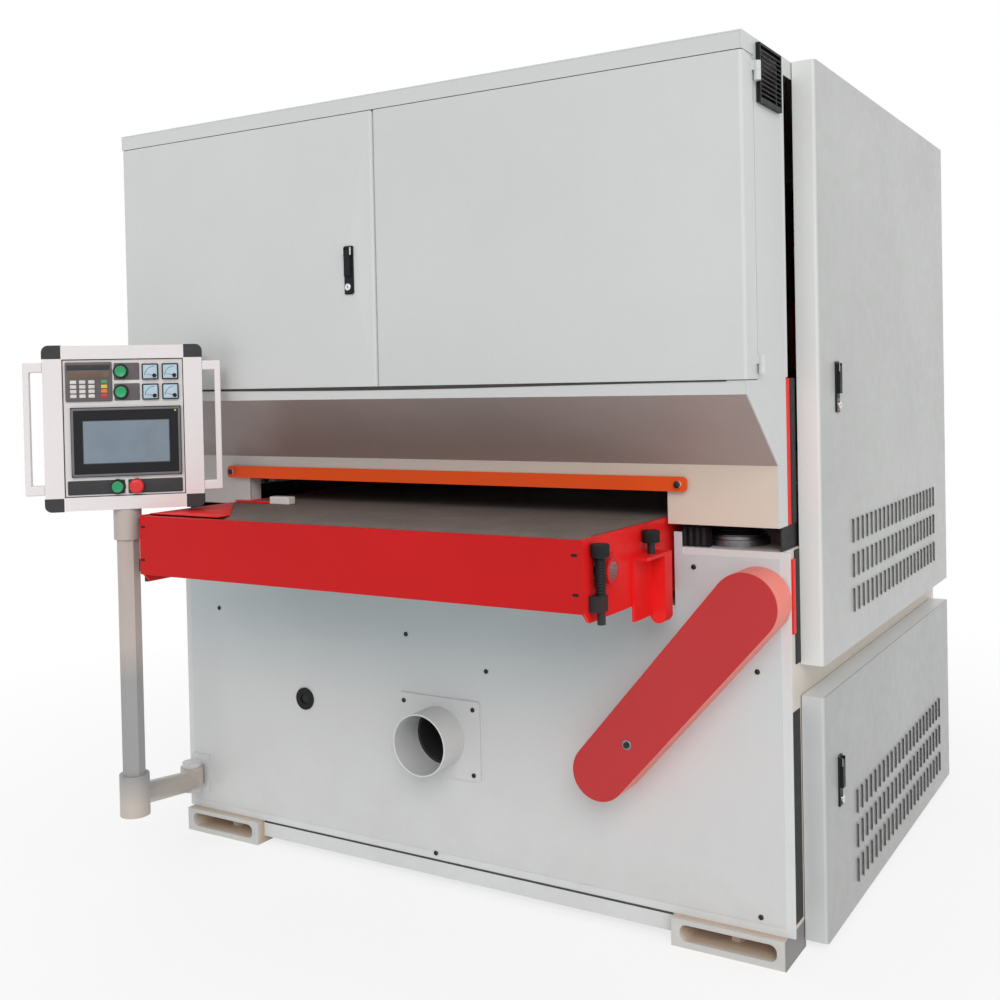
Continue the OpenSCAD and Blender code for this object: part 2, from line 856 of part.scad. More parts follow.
module conveyor_frame() color(RED) placed() {
  from = conv_l + conv_plate + weld_gap;
  to = conv_r - conv_plate - weld_gap;
  conveyor_side();
  translate([conv_l + conv_r, 0, 0]) mirror([1, 0, 0]) conveyor_side();
  block([from, idler_y + feed_outer_r + bed_gap, belt_top - feed_belt_t - run_gap - bed_t],
    [to, drive_y - feed_outer_r - bed_gap, belt_top - feed_belt_t - run_gap]);
  for (y = [idler_y + feed_outer_r + tie_w, mid_y, drive_y - feed_outer_r - 2 * tie_w])
    block([from, y, roller_z - tie_h / 2], [to, y + tie_w, roller_z + tie_h / 2]);
  conveyor_bracket();
}

// Red cover over the front of the conveyor, a channel with flanges turned back
module conveyor_front_cover() color(RED) placed() {
  top = belt_top - cover_drop;
  block([conv_l, -conveyor_reach, top - cover_h], [conv_r, conv_front, top]);
  block([conv_l + conv_plate, -conveyor_reach, top - sheet],
    [conv_r - conv_plate, conv_front + cover_flange, top]);
  block([conv_l + conv_plate, -conveyor_reach, top - cover_h],
    [conv_r - conv_plate, conv_front + cover_gap - run_gap, top - cover_h + sheet]);
}

// Endless feed belt
module feed_belt() color(RUBBER) placed() band(feed_l, feed_r, [idler_y, roller_z], [drive_y, roller_z],
  feed_roller_r + run_gap, feed_roller_r + run_gap, feed_belt_t);

// Feed roller with its shaft, at a given place
module feed_roller(y, left_end) {
  bar_x(feed_l, feed_r, y, roller_z, feed_roller_r);
  bar_x(left_end, conv_r + take_up_t, y, roller_z, feed_shaft_r);
}
module idler_roller() color(STEEL) placed() feed_roller(idler_y, conv_l - take_up_t);
module drive_roller() color(STEEL) placed() feed_roller(drive_y, conv_l - take_up_t - gear_w);

// Flange bearings of the feed rollers on the side plates, with an upright adjusting stud in a block
// ahead of each idler bearing, and the tracking stud on the shelf of the bracket
module feed_bearing(y) {
  difference() {
    union() {
      block([conv_r, y - take_up / 2, roller_z - take_up / 2],
        [conv_r + take_up_t / 2, y + take_up / 2, roller_z + take_up / 2]);
      bar_x(conv_r, conv_r + take_up_t, y, roller_z, take_up_boss_r);
    }
    bar_x(conv_r - over, conv_r + take_up_t + over, y, roller_z, feed_shaft_r + shaft_gap);
  }
}
module knob_stud(h) {
  translate([0, 0, -h]) cylinder(r = stud_r, h = h);
  translate([0, 0, -knob_h]) cylinder(r = knob_r, h = knob_h);
}
module belt_adjuster() {
  low = belt_top - knob_drop - stud_len + stud_block_up;
  translate([conv_r + knob_r + run_gap, idler_y - stud_ahead, belt_top - knob_drop]) knob_stud(stud_len);
  block([conv_r, idler_y - stud_ahead - stud_block / 2, low],
    [conv_r + stud_block_t, idler_y - stud_ahead + stud_block / 2, low + stud_block_h]);
}
module conveyor_end_fittings() {
  feed_bearing(idler_y);
  feed_bearing(drive_y);
  belt_adjuster();
}
module take_up_bearings() color(BLACK) placed() {
  conveyor_end_fittings();
  translate([conv_l + conv_r, 0, 0]) mirror([1, 0, 0]) conveyor_end_fittings();
  track_h = track_stud_h + knob_h;
  translate([conv_r + knob_r + run_gap, bracket_y + bracket_len / 2, roller_z + shelf_t + track_h])
    knob_stud(track_h);
}

// Gear motor on the end of the drive roller
module feed_gearmotor() color(BLUE) placed() {
  right = conv_l - take_up_t;
  difference() {
    block([right - gear_w, drive_y - gear_box / 2, roller_z - gear_box / 2],
      [right, drive_y + gear_box / 2, roller_z + gear_box / 2]);
    bar_x(right - gear_w - over, right + over, drive_y, roller_z, feed_shaft_r + shaft_gap);
  }
  translate([right - gear_w / 2, drive_y, roller_z - gear_box / 2 - gear_motor_len])
    cylinder(r = gear_w / 2, h = gear_motor_len);
}

// Wall bracket of the panel arm: flange, two lugs and the pin
arm_pin = [arm_x + flange_w / 2, base_front - arm_out];
module arm_bracket() color(PALE) placed() {
  block([arm_x, base_front - flange_t, arm_z - lug_t - flange_t],
    [arm_x + flange_w, base_front, arm_z - lug_t - flange_t + flange_h]);
  for (z = [arm_z - lug_t - run_gap, arm_z + arm_tube + run_gap]) difference() {
    union() {
      translate([arm_pin[0], arm_pin[1], z]) cylinder(r = arm_eye_r - arm_pin_r / 2, h = lug_t);
      block([arm_pin[0] - arm_eye_r / 2, arm_pin[1], z],
        [arm_pin[0] + arm_eye_r / 2, base_front - over, z + lug_t]);
    }
  }
  translate([arm_pin[0], arm_pin[1], arm_z - lug_t]) cylinder(r = arm_pin_r, h = arm_tube + 2 * lug_t);
}

// Red frame of the head: rails over the screws, cross beams, the left plate and the drum arms
module head_arm(y) {
  low = drum_z + arm_rise;
  from = side_plate_x + side_plate_t + weld_gap;
  difference() {
    block([from, y - arm_w / 2, low], [arm_end - weld_gap, y + arm_w / 2, low + arm_h]);
    block([from - over, y - arm_w / 2 + arm_wall, low + arm_wall],
      [arm_end, y + arm_w / 2 - arm_wall, low + arm_h - arm_wall]);
  }
  difference() {
    union() {
      block([arm_end, y - arm_w / 2, low], [arm_end + arm_bracket_t, y + arm_w / 2, low + arm_h]);
      block([arm_end, y - arm_bracket_w / 2, drum_z - bearing_w / 2],
        [arm_end + arm_bracket_t, y + arm_bracket_w / 2, low + arm_h / 2]);
    }
    bar_x(arm_end - over, arm_end + arm_bracket_t + over, y, drum_z, drum_shaft_r + drum_shaft_free);
  }
}
module press_hanger(x) {
  difference() {
    block([x, beam_y + beam_d + weld_gap, press_z - 2 * press_shaft_r],
      [x + press_plate, press_y[0] + 2 * press_shaft_r, beam_z + beam_h / 2]);
    bar_x(x - over, x + press_plate + over, press_y[0], press_z, press_shaft_r + shaft_gap);
  }
}
module head_end() {
  post_x = body_w - sheet - post_w;
  block([sheet, beam_y, beam_z], [post_x - weld_gap, beam_y + beam_d, beam_z + beam_h]);
  for (x = [drum_l - press_plate - drum_shaft_free, drum_right + drum_shaft_free]) press_hanger(x);
  block([post_x, post_front, jaw_z], [post_x + post_w, post_front + post_d, door_z]);
}
module head_frame() color(RED) placed() {
  both_sides() {
    block([jack_x - rail_w / 2, beam_y, rail_z], [jack_x + rail_w / 2, head_d - beam_y, rail_z + rail_h]);
    both_ends() block([jack_x - rail_w / 2, beam_y, rail_z + rail_h + weld_gap],
      [jack_x + rail_w / 2, beam_y + beam_d, beam_z - weld_gap]);
  }
  block([jack_x + rail_w / 2 + weld_gap, side_plate_y, rail_z],
    [side_plate_x - weld_gap, head_d - side_plate_y, rail_z + rail_h]);
  both_ends() head_end();
  difference() {
    block([side_plate_x, side_plate_y, rail_z],
      [side_plate_x + side_plate_t, head_d - side_plate_y, side_plate_top]);
    for (y = drum_y) bar_x(side_plate_x - over, side_plate_x + side_plate_t + over, y, drum_z,
      drum_shaft_r + drum_shaft_free);
    bar_x(side_plate_x - over, side_plate_x + side_plate_t + over, main_y, main_z,
      main_shaft_r + drum_shaft_free);
  }
  for (y = drum_y) head_arm(y);
}

// Side outline of the cabinet in the YZ plane
module cabinet_side() {
  polygon([[hood_run, jaw_z], [hood_run, hood_z], [0, lip_z], [0, door_z - seam_gap],
    [cab_front, door_z - seam_gap], [cab_front, roof_z], [0, roof_z], [0, head_top], [head_d, head_top],
    [head_d, lip_z], [head_d - hood_run, hood_z], [head_d - hood_run, jaw_z]]);
}
module cabinet_shell() color(PALE) placed() {
  skin = sheet + weld_gap;
  ledge = door_z - seam_gap;
  along_x(0, sheet) cabinet_side();
  along_x(body_w - sheet, body_w) difference() {
    cabinet_side();
    translate([window_front, jaw_z - over]) square([side_rear - window_front - seam_gap, roof_z - jaw_z]);
    translate([vent_y + vent_frame, vent_z + vent_frame])
      square([vent_w - 2 * vent_frame, vent_h - 2 * vent_frame]);
  }
  difference() {
    block([skin, 0, head_top - sheet], [body_w - skin, head_d, head_top]);
    for (y = hood_back) translate([duct_x, y + duct_r, roof_z]) cylinder(r = duct_r + over, h = 2 * roof_h);
  }
  block([skin, 0, roof_z], [body_w - skin, sheet, head_top - skin]);
  block([skin, 0, lip_z], [body_w - skin, sheet, ledge - skin]);
  block([skin, 0, ledge - sheet], [body_w - skin, cab_front - weld_gap, ledge]);
  block([skin, head_d - sheet, lip_z], [body_w - skin, head_d, head_top - skin]);
  along_y(cab_front, cab_front + sheet) difference() {
    translate([skin, ledge - sheet]) square([body_w - 2 * skin, head_top - skin - ledge + sheet]);
    translate([frame_land, door_z + frame_land]) square([seam_x - 2 * frame_land, door_h - 2 * frame_land]);
    translate([seam_x + frame_land, door_z + frame_land])
      square([body_w - seam_x - 2 * frame_land, door_h - 2 * frame_land]);
  }
}
vent_z = head_top - vent_drop - vent_h;
hood_back = [for (y = drum_y) y + drum_r + hood_gap];

// Slanted hood sheet between the lip and the jaw
module hood_sheet() along_x(sheet, body_w - sheet)
  polygon([[0, lip_z], [hood_run, hood_z], [hood_run + 2 * sheet, hood_z], [2 * sheet, lip_z]]);
module jaw_sheet() along_y(hood_run, hood_run + sheet) difference() {
  translate([sheet, jaw_z]) square([body_w - 2 * sheet, jaw_h]);
  translate([mouth_l, jaw_z - over]) square([mouth_w, bar_z + mouth_over - jaw_z + over]);
}
module front_hood() color(TAUPE) placed() hood_sheet();

// Upright jaw with the feed mouth, and the two guide pins of the safety bar
bar_left_over = 78;
bar_right_over = 54;
bar_l = mouth_l - bar_left_over;
bar_r = mouth_r + bar_right_over;
bar_pin_in = 20;
bar_pin_r = 5;
bar_head_r = 8;
bar_back = hood_run - bar_travel - over;
module front_jaw() color(BEIGE) placed() {
  jaw_sheet();
  for (x = [bar_l + bar_pin_in, bar_r - bar_pin_in]) {
    bar_y(bar_back - bar_t - bar_travel, hood_run + over, x, bar_z + bar_h / 2, bar_pin_r);
    bar_y(bar_back - bar_t - 2 * bar_travel, bar_back - bar_t - run_gap, x, bar_z + bar_h / 2, bar_head_r);
  }
}

// The back has the same hood and jaw in one sheet
module rear_hood() color(BEIGE) placed() translate([0, head_d, 0]) mirror([0, 1, 0]) {
  hood_sheet();
  jaw_sheet();
}

// Safety bar across the mouth
module safety_bar() color(ORANGE) placed() along_y(bar_back - bar_t, bar_back) difference() {
  translate([bar_l, bar_z]) round_plate(bar_r - bar_l, bar_h, bar_h / 3);
  for (x = [bar_l + bar_pin_in, bar_r - bar_pin_in])
    translate([x, bar_z + bar_h / 2]) circle(r = bar_pin_r + run_gap);
}

// Vent in the right side strip: a frame with tilted slats
module vent_grille() color(BLACK) placed() translate([body_w, vent_y, vent_z]) {
  difference() {
    cube([vent_t, vent_w, vent_h]);
    translate([-over, vent_frame, vent_foot])
      cube([vent_t + 2 * over, vent_w - 2 * vent_frame, vent_h - vent_foot - vent_frame]);
  }
  step = (vent_h - vent_foot - vent_frame) / vent_slats;
  for (i = [0 : vent_slats - 1]) translate([0, vent_frame - over, vent_foot + (i + 1 / 2) * step])
    along_y(0, vent_w - 2 * vent_frame + 2 * over)
      polygon([[0, 0], [vent_t, -vent_t * tan(slat_tilt)],
        [vent_t, slat_t - vent_t * tan(slat_tilt)], [0, slat_t]]);
}

// Dust hoods behind the drums, each with a round duct that stands out of the roof
module dust_hood(y) {
  difference() {
    union() {
      block([hood_l, y, hood_low], [hood_r, y + hood_d, hood_high]);
      block([duct_x - duct_r, y, hood_high - over],
        [duct_x + duct_r, y + 2 * duct_r, hood_high + duct_box_h]);
      translate([duct_x, y + duct_r, hood_high]) cylinder(r = duct_r, h = head_top + duct_rise - hood_high);
      translate([duct_x, y + duct_r, head_top]) cylinder(r = duct_flange_r, h = duct_flange_t);
    }
    block([hood_l + sheet, y + sheet, hood_low - over],
      [hood_r - sheet, y + hood_d - sheet, hood_high - sheet]);
    block([duct_x - duct_r + sheet, y + sheet, hood_high - 2 * sheet],
      [duct_x + duct_r - sheet, y + hood_d - sheet, hood_high + over]);
    block([duct_x - duct_r + sheet, y + sheet, hood_high + sheet],
      [duct_x + duct_r - sheet, y + 2 * duct_r - sheet, hood_high + duct_box_h - sheet]);
    translate([duct_x, y + duct_r, hood_high + sheet])
      cylinder(r = duct_r - sheet, h = head_top + 2 * duct_rise - hood_high);
  }
}
module dust_hoods() color(GREY) placed() for (y = hood_back) dust_hood(y);

// Lift screws under the rails of the head
module lift_screws() color(STEEL) placed() at_jacks() {
  translate([0, 0, rail_z - screw_len]) cylinder(r = screw_r, h = screw_len);
  translate([0, 0, rail_z - screw_flange_t]) cylinder(r = screw_flange_r, h = screw_flange_t);
}

// Bearings of the contact drums, on the left plate and on the arm brackets
module drum_bearing(x, y) difference() {
  union() {
    block([x, y - bearing_w / 2, drum_z - bearing_w / 3],
      [x + bearing_t / 2, y + bearing_w / 2, drum_z + bearing_w / 3]);
    bar_x(x, x + bearing_t, y, drum_z, bearing_w / 3);
  }
  bar_x(x - over, x + bearing_t + over, y, drum_z, drum_shaft_r + shaft_gap);
}
module drum_bearings() color(STEEL) placed() for (y = drum_y) {
  translate([2 * side_plate_x, 0, 0]) mirror([1, 0, 0]) drum_bearing(side_plate_x, y);
  drum_bearing(arm_end + arm_bracket_t, y);
}

// Pulley with one V groove, its left rim at the given place
module grooved(x, y, z, r) {
  translate([x, y, z]) rotate([90, 0, 90]) rotate_extrude()
    polygon([[0, 0], [r + rim_h, 0], [r + rim_h, rim_w],
    [r, rim_w], [r, rim_w + groove_w], [r + rim_h, rim_w + groove_w],
    [r + rim_h, 2 * rim_w + groove_w], [0, 2 * rim_w + groove_w]]);
}

// Contact drums: rubber-faced roller, shaft and drive pulley
module contact_drum(i) {
  bar_x(drum_l, drum_right, drum_y[i], drum_z, drum_r);
  bar_x(pulley_x, arm_end + arm_bracket_t + bearing_t + drum_shaft_free, drum_y[i], drum_z, drum_shaft_r);
  grooved(pulley_x + i * groove_step, drum_y[i], drum_z, drum_groove_r);
}
module contact_drum_1() color(RUBBER) placed() contact_drum(0);
module contact_drum_2() color(RUBBER) placed() contact_drum(1);

// Main motor between the heads, flanged to the left plate
module main_motor() color(BLUE) placed() translate([side_plate_x + side_plate_t, main_y, main_z]) {
  difference() {
    union() {
      bar_x(0, main_flange_t, 0, 0, main_flange_r);
      bar_x(0, main_len, 0, 0, main_r - fin_h);
      for (i = [0 : fin_count - 1]) rotate([i * 360 / fin_count, 0, 0])
        translate([main_flange_t, -fin_w / 2, 0]) cube([main_len - 2 * main_flange_t, fin_w, main_r]);
    }
    bar_x(-over, main_len / 2, 0, 0, main_shaft_r + shaft_gap);
  }
}
module motor_pulley() color(STEEL) placed() {
  grooved(pulley_x, main_y, main_z, motor_groove_r);
  grooved(pulley_x + groove_step, main_y, main_z, motor_groove_r);
  bar_x(pulley_x, side_plate_x + side_plate_t + main_len / 2 - drum_shaft_free, main_y, main_z, main_shaft_r);
}
module drive_belts() color(BLACK) placed() for (i = [0, 1]) {
  x = pulley_x + i * groove_step + rim_w + (groove_w - v_belt_w) / 2;
  band(x, x + v_belt_w, [main_y, main_z], [drum_y[i], drum_z],
    motor_groove_r + run_gap, drum_groove_r + run_gap, v_belt_t);
}

// Sanding belts, each round a drum and a tension roller
module sanding_belts() color(GRIT) placed() for (y = drum_y)
  band(sanding_l, sanding_l + sanding_w, [y, drum_z], [y, tension_z],
    drum_r + run_gap, tension_r + run_gap, sanding_t);

// Tension yokes with the piston rod, and the rollers that they carry
yoke_z = tension_z - yoke_drop;
yoke_places = [drum_l - yoke_gap - yoke_t, drum_right + yoke_gap];
module tension_yoke(y) {
  block([yoke_places[0], y - yoke_bar_d / 2, yoke_z - yoke_bar_h / 2],
    [yoke_places[1] + yoke_t, y + yoke_bar_d / 2, yoke_z + yoke_bar_h / 2]);
  for (x = yoke_places) difference() {
    union() {
      block([x, y - yoke_eye_r, yoke_z - yoke_bar_h / 2], [x + yoke_t, y + yoke_eye_r, tension_z]);
      bar_x(x, x + yoke_t, y, tension_z, yoke_eye_r);
    }
    bar_x(x - over, x + yoke_t + over, y, tension_z, tension_shaft_r + shaft_gap);
  }
  translate([(drum_l + drum_right) / 2, y, cylinder_z + cylinder_h / 2])
    cylinder(r = rod_r, h = yoke_z - cylinder_z - cylinder_h / 2);
}
module tension_yoke_1() color(RED) placed() tension_yoke(drum_y[0]);
module tension_yoke_2() color(RED) placed() tension_yoke(drum_y[1]);
module tension_roller(y) {
  bar_x(drum_l, drum_right, y, tension_z, tension_r);
  bar_x(yoke_places[0], yoke_places[1] + yoke_t, y, tension_z, tension_shaft_r);
}
module tension_roller_1() color(STEEL) placed() tension_roller(drum_y[0]);
module tension_roller_2() color(STEEL) placed() tension_roller(drum_y[1]);

// Pneumatic cylinders on the arms, open at the top for the rods
cylinder_z = drum_z + arm_rise + arm_h;
module tension_cylinders() color(STEEL) placed() for (y = drum_y)
  translate([(drum_l + drum_right) / 2, y, cylinder_z]) difference() {
    cylinder(r = cylinder_r, h = cylinder_h);
    translate([0, 0, sheet]) cylinder(r = rod_r + run_gap, h = cylinder_h);
  }

// Press rollers before and after the drums
module press_roller(y) {
  bar_x(drum_l, drum_right, y, press_z, press_r);
  bar_x(drum_l - press_plate - drum_shaft_free, drum_right + drum_shaft_free + press_plate,
    y, press_z, press_shaft_r);
}
module front_press_roller() color(RUBBER) placed() press_roller(press_y[0]);
module rear_press_roller() color(RUBBER) placed() press_roller(press_y[1]);

// Electrical plate on stand-offs behind the left door
module electrical_plate() color(BEIGE) placed() {
  block([elec_l, elec_y, elec_low], [elec_l + elec_w, elec_y + elec_t, elec_low + elec_h]);
  for (x = [elec_l, elec_l + elec_w], z = [door_z + frame_land / 2, roof_z - frame_land / 2])
    bar_y(cab_front + sheet, elec_y - weld_gap, x, z, standoff_r);
  for (x = [elec_l, elec_l + elec_w]) block([x - standoff_r, elec_y, door_z + frame_land / 2],
    [x + standoff_r, elec_y + elec_t, roof_z - frame_land / 2]);
  for (row = [0 : device_rows - 1], col = [0 : device_cols - 1])
    translate([elec_l + (col + 1 / 4) * elec_w / device_cols, elec_y - device_d,
      elec_low + (row + 1 / 4) * elec_h / device_rows])
      cube([device_w, device_d - weld_gap, device_h]);
}

// Fixed hinge halves of the head: four on the front, three for the upper side door
module head_hinges() color(STEEL) placed() {
  for (z = front_hinges) both_sides() translate([body_w + front_pin_out, cab_front, z]) hinge_fixed() {
    translate([-front_pin_out, knuckle_r / 2, 0]) cube([leaf_t, leaf_w, hinge_h / 2]);
    translate([-front_pin_out, knuckle_r / 2, 0]) cube([front_pin_out, leaf_t, hinge_h / 2]);
  }
  for (z = upper_hinges) translate([body_w + side_pin_out, side_rear + side_pin_back, z])
    hinge_fixed() translate([-side_pin_out, -knuckle_r, 0]) cube([side_pin_out, 2 * knuckle_r, hinge_h / 2]);
}

// Front doors: deep pans that hang on the side hinges
module front_door_hinge(z) translate([body_w + front_pin_out, cab_front, z]) hinge_moving()
  translate([-front_pin_out, -leaf_w, 0]) {
    cube([leaf_t, leaf_w - knuckle_r / 2, hinge_h / 2 - run_gap]);
    translate([0, leaf_w - knuckle_r / 2 - leaf_t, 0]) cube([front_pin_out, leaf_t, hinge_h / 2 - run_gap]);
  }
module left_door() color(PALE) placed() {
  translate([0, 0, door_z]) pan(seam_x - seam_gap / 2, door_h, door_depth);
  for (z = front_hinges) translate([body_w, 0, 0]) mirror([1, 0, 0]) front_door_hinge(z);
  translate([front_latch[0], 0, front_latch[1]]) latch_tray();
}
module right_door() color(PALE) placed() {
  translate([seam_x + seam_gap / 2, 0, door_z]) pan(body_w - seam_x - seam_gap / 2, door_h, door_depth);
  for (z = front_hinges) front_door_hinge(z);
}
module left_door_lever() color(BLACK) placed() translate([front_latch[0], 0, front_latch[1]]) latch_lever();

// Side doors with their moving hinge halves and latch trays
module side_door_hinge(z) translate([body_w + side_pin_out, side_rear + side_pin_back, z]) hinge_moving()
  translate([0, -side_pin_back - over, 0]) cube([knuckle_r, side_pin_back + over, hinge_h / 2 - run_gap]);
module upper_side_door() color(PALE) placed() {
  on_side(side_front, upper_low) side_door(upper_h, upper_louvre_up, upper_louvre_count);
  for (z = upper_hinges) side_door_hinge(z);
  on_side(upper_latch[0], upper_latch[1]) latch_tray();
}
module lower_side_door() color(PALE) placed() {
  on_side(side_front, lower_low) side_door(lower_h, lower_louvre_up, lower_louvre_count);
  for (z = lower_hinges) side_door_hinge(z);
  on_side(lower_latch[0], lower_latch[1]) latch_tray();
}
module upper_door_lever() color(BLACK) placed() on_side(upper_latch[0], upper_latch[1]) latch_lever();
module lower_door_lever() color(BLACK) placed() on_side(lower_latch[0], lower_latch[1]) latch_lever();

// Swinging arm: eye on the bracket pin, cross tube, elbow, column and collar
column = [column_x, -column_out];
module panel_arm() color(PALE) placed() {
  rise_run = norm(column - arm_pin) - arm_knee;
  elbow_z = arm_z + arm_tube / 2 + arm_lift;
  difference() {
    union() {
      translate([arm_pin[0], arm_pin[1], arm_z]) cylinder(r = arm_eye_r, h = arm_tube);
      translate([arm_pin[0], arm_pin[1], arm_z + arm_tube / 2])
        rotate([0, 0, atan2(column[1] - arm_pin[1], column[0] - arm_pin[0])]) {
          along_x(arm_pin_r + over, arm_knee) cut_square(arm_tube - 2 * over, arm_cut);
          translate([arm_knee, 0, 0]) rotate([0, -atan2(arm_lift, rise_run), 0])
            along_x(-arm_cut, norm([rise_run, arm_lift])) cut_square(arm_tube - 4 * over, arm_cut);
        }
      translate([column[0], column[1], elbow_z - elbow_drop]) cylinder(r = elbow_r, h = elbow_h);
      translate([column[0], column[1], elbow_z]) rotate([0, 0, panel_turn])
        linear_extrude(height = panel_z - elbow_z - collar_h / 2) cut_square(column_tube, arm_cut);
      translate([column[0], column[1], panel_z - collar_h]) cylinder(r = collar_r, h = collar_h - run_gap);
    }
    translate([arm_pin[0], arm_pin[1], arm_z - over])
      cylinder(r = arm_pin_r + shaft_gap, h = arm_tube + 2 * over);
    translate([column[0], column[1], panel_z - swivel_len - over])
      cylinder(r = swivel_r + shaft_gap, h = swivel_len + 2 * over);
  }
}

// The panel's own axes: X along its width, Y into it and Z up, with its face in front
module at_panel() translate([column[0], column[1], panel_z]) rotate([0, 0, panel_turn]) children();

// A place on the panel face, from its upper left corner, on the face plane
module on_face(place) at_panel() translate([place[0] - face_w / 2, face_inset - panel_d / 2,
  panel_h - end_rail - place[1]]) children();
module face_plate(place, t) on_face(place) translate([0, -t, -place[3]]) cube([place[2], t, place[3]]);

// Panel case: a frame of profiles with a closed back and the swivel spigot
module panel_case() color(PALE) placed() at_panel() {
  difference() {
    translate([-panel_w / 2, -panel_d / 2, 0]) cube([panel_w, panel_d, panel_h]);
    translate([-face_w / 2, -panel_d / 2 - over, end_rail])
      cube([face_w, face_inset + face_t + over, face_h]);
    translate([-panel_w / 2 + sheet, face_inset + face_t - panel_d / 2 + sheet, sheet])
      cube([panel_w - 2 * sheet, panel_d - face_inset - face_t - 2 * sheet, panel_h - 2 * sheet]);
    translate([-face_w / 2 + face_t, -panel_d / 2, end_rail + face_t])
      cube([face_w - 2 * face_t, panel_d / 2, face_h - 2 * face_t]);
    for (x = [-panel_w / 2 - over, panel_w / 2 - side_rail + corner_proud],
      z = [-over, panel_h - end_rail + corner_proud])
      translate([x, -panel_d / 2 - over, z]) cube([side_rail - corner_proud + over, panel_d + 2 * over,
        end_rail - corner_proud + over]);
  }
  translate([0, 0, -swivel_len]) cylinder(r = swivel_r, h = swivel_len + sheet);
}

// Moulded corners of the case
module panel_corners() color(BLACK) placed() at_panel()
  for (sx = [0, 1], sz = [0, 1]) mirror([sx, 0, 0]) translate([0, 0, sz * panel_h]) mirror([0, 0, sz])
    translate([-panel_w / 2 - corner_proud, panel_d / 2, -corner_proud]) rotate([90, 0, 0])
      linear_extrude(height = panel_d) difference() {
        round_plate(2 * side_rail, 2 * end_rail, end_rail / 2);
        translate([side_rail, -over]) square([2 * side_rail, 3 * end_rail]);
        translate([-over, end_rail]) square([3 * side_rail, 2 * end_rail]);
      }

// Bow handles on both sides of the case
module panel_handles() color(PALE) placed() at_panel() for (s = [0, 1]) mirror([s, 0, 0])
  translate([panel_w / 2, -panel_d / 2, (panel_h - handle_h) / 2]) difference() {
    cube([handle_reach, handle_d, handle_h]);
    translate([-over, -over, handle_leg])
      cube([handle_reach - handle_t + over, handle_d + 2 * over, handle_h - 2 * handle_leg]);
  }

// Face plate with button plates and bezels, and holes for the button stems
module panel_face() color(GREY) placed() difference() {
  union() {
    on_face([0, 0]) translate([0, 0, -face_h]) cube([face_w, face_t, face_h]);
    for (p = button_plates) face_plate(p, plate_t);
    for (p = button_places) on_face(p) bar_y(-bezel_t, 0, 0, 0, bezel_r);
  }
  for (p = button_places) on_face(p) bar_y(-bezel_t - over, face_t + over, 0, 0, stem_r + run_gap);
}

// Touch screen with a sunk glass, the keypad with its keys, and the four meters
module touch_screen() color(BLACK) placed() difference() {
  face_plate(screen_place, screen_t);
  on_face(screen_place)
    translate([(screen_place[2] - glass_w) / 2, -screen_t - over, -(screen_place[3] + glass_h) / 2])
    cube([glass_w, glass_deep + over, glass_h]);
}
module keypad() color(BLACK) placed() {
  face_plate(keypad_place, keypad_t);
  for (col = [0 : 3], row = [0 : 3]) on_face(keypad_place)
    translate([(col + 1 / 2) * keypad_place[2] / 4 - key_size / 2, -keypad_t - key_h,
      -keypad_place[3] + (row + 1 / 4) * key_size]) cube([key_size * 4 / 5, key_h + over, key_size * 3 / 5]);
}
module meters() color(BLUE) placed() for (p = meter_places)
  face_plate([p[0], p[1], meter_size, meter_size], meter_t);

// Push buttons: a cap in front of the bezel and a stem through the plate
module push_button(i, r) on_face(button_places[i]) {
  bar_y(-bezel_t - button_travel - over - button_h, -bezel_t - button_travel - over, 0, 0, r);
  bar_y(-bezel_t - button_travel - 2 * over, stem_len, 0, 0, stem_r);
}
module head_one_button() color(GREEN) placed() push_button(0, button_r);
module head_two_button() color(GREEN) placed() push_button(1, button_r);
module feed_button() color(GREEN) placed() push_button(2, button_r);
module stop_button() color(RED) placed() push_button(3, stop_r);

base_frame();
base_front_panel();
levelling_feet();
front_dust_port();
cable_grommet();
lift_motor();
lift_chain_guard();
jack_housings();
conveyor_frame();
conveyor_front_cover();
feed_belt();
take_up_bearings();
feed_gearmotor();
arm_bracket();
head_frame();
cabinet_shell();
front_hood();
front_jaw();
rear_hood();
safety_bar();
vent_grille();
dust_hoods();
lift_screws();
drum_bearings();
main_motor();
drive_belts();
sanding_belts();
tension_cylinders();
electrical_plate();
head_hinges();
left_door();
left_door_lever();
right_door();
upper_side_door();
upper_door_lever();
lower_side_door();
lower_door_lever();
panel_arm();
panel_case();
panel_corners();
panel_handles();
panel_face();
touch_screen();
keypad();
meters();
head_one_button();
head_two_button();
feed_button();
stop_button();
drive_roller();
idler_roller();
contact_drum_1();
contact_drum_2();
tension_yoke_1();
tension_yoke_2();
tension_roller_1();
tension_roller_2();
motor_pulley();
front_press_roller();
rear_press_roller();
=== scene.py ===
"""Looks of a two-head wide belt sander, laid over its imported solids.

Everything is in metres in the frame of the solids. The tables of places are in
millimetres from the lower left front corner of the body, as a fitter reads them.
"""
import math

import bmesh
import bpy
import numpy as np
from mathutils import Matrix


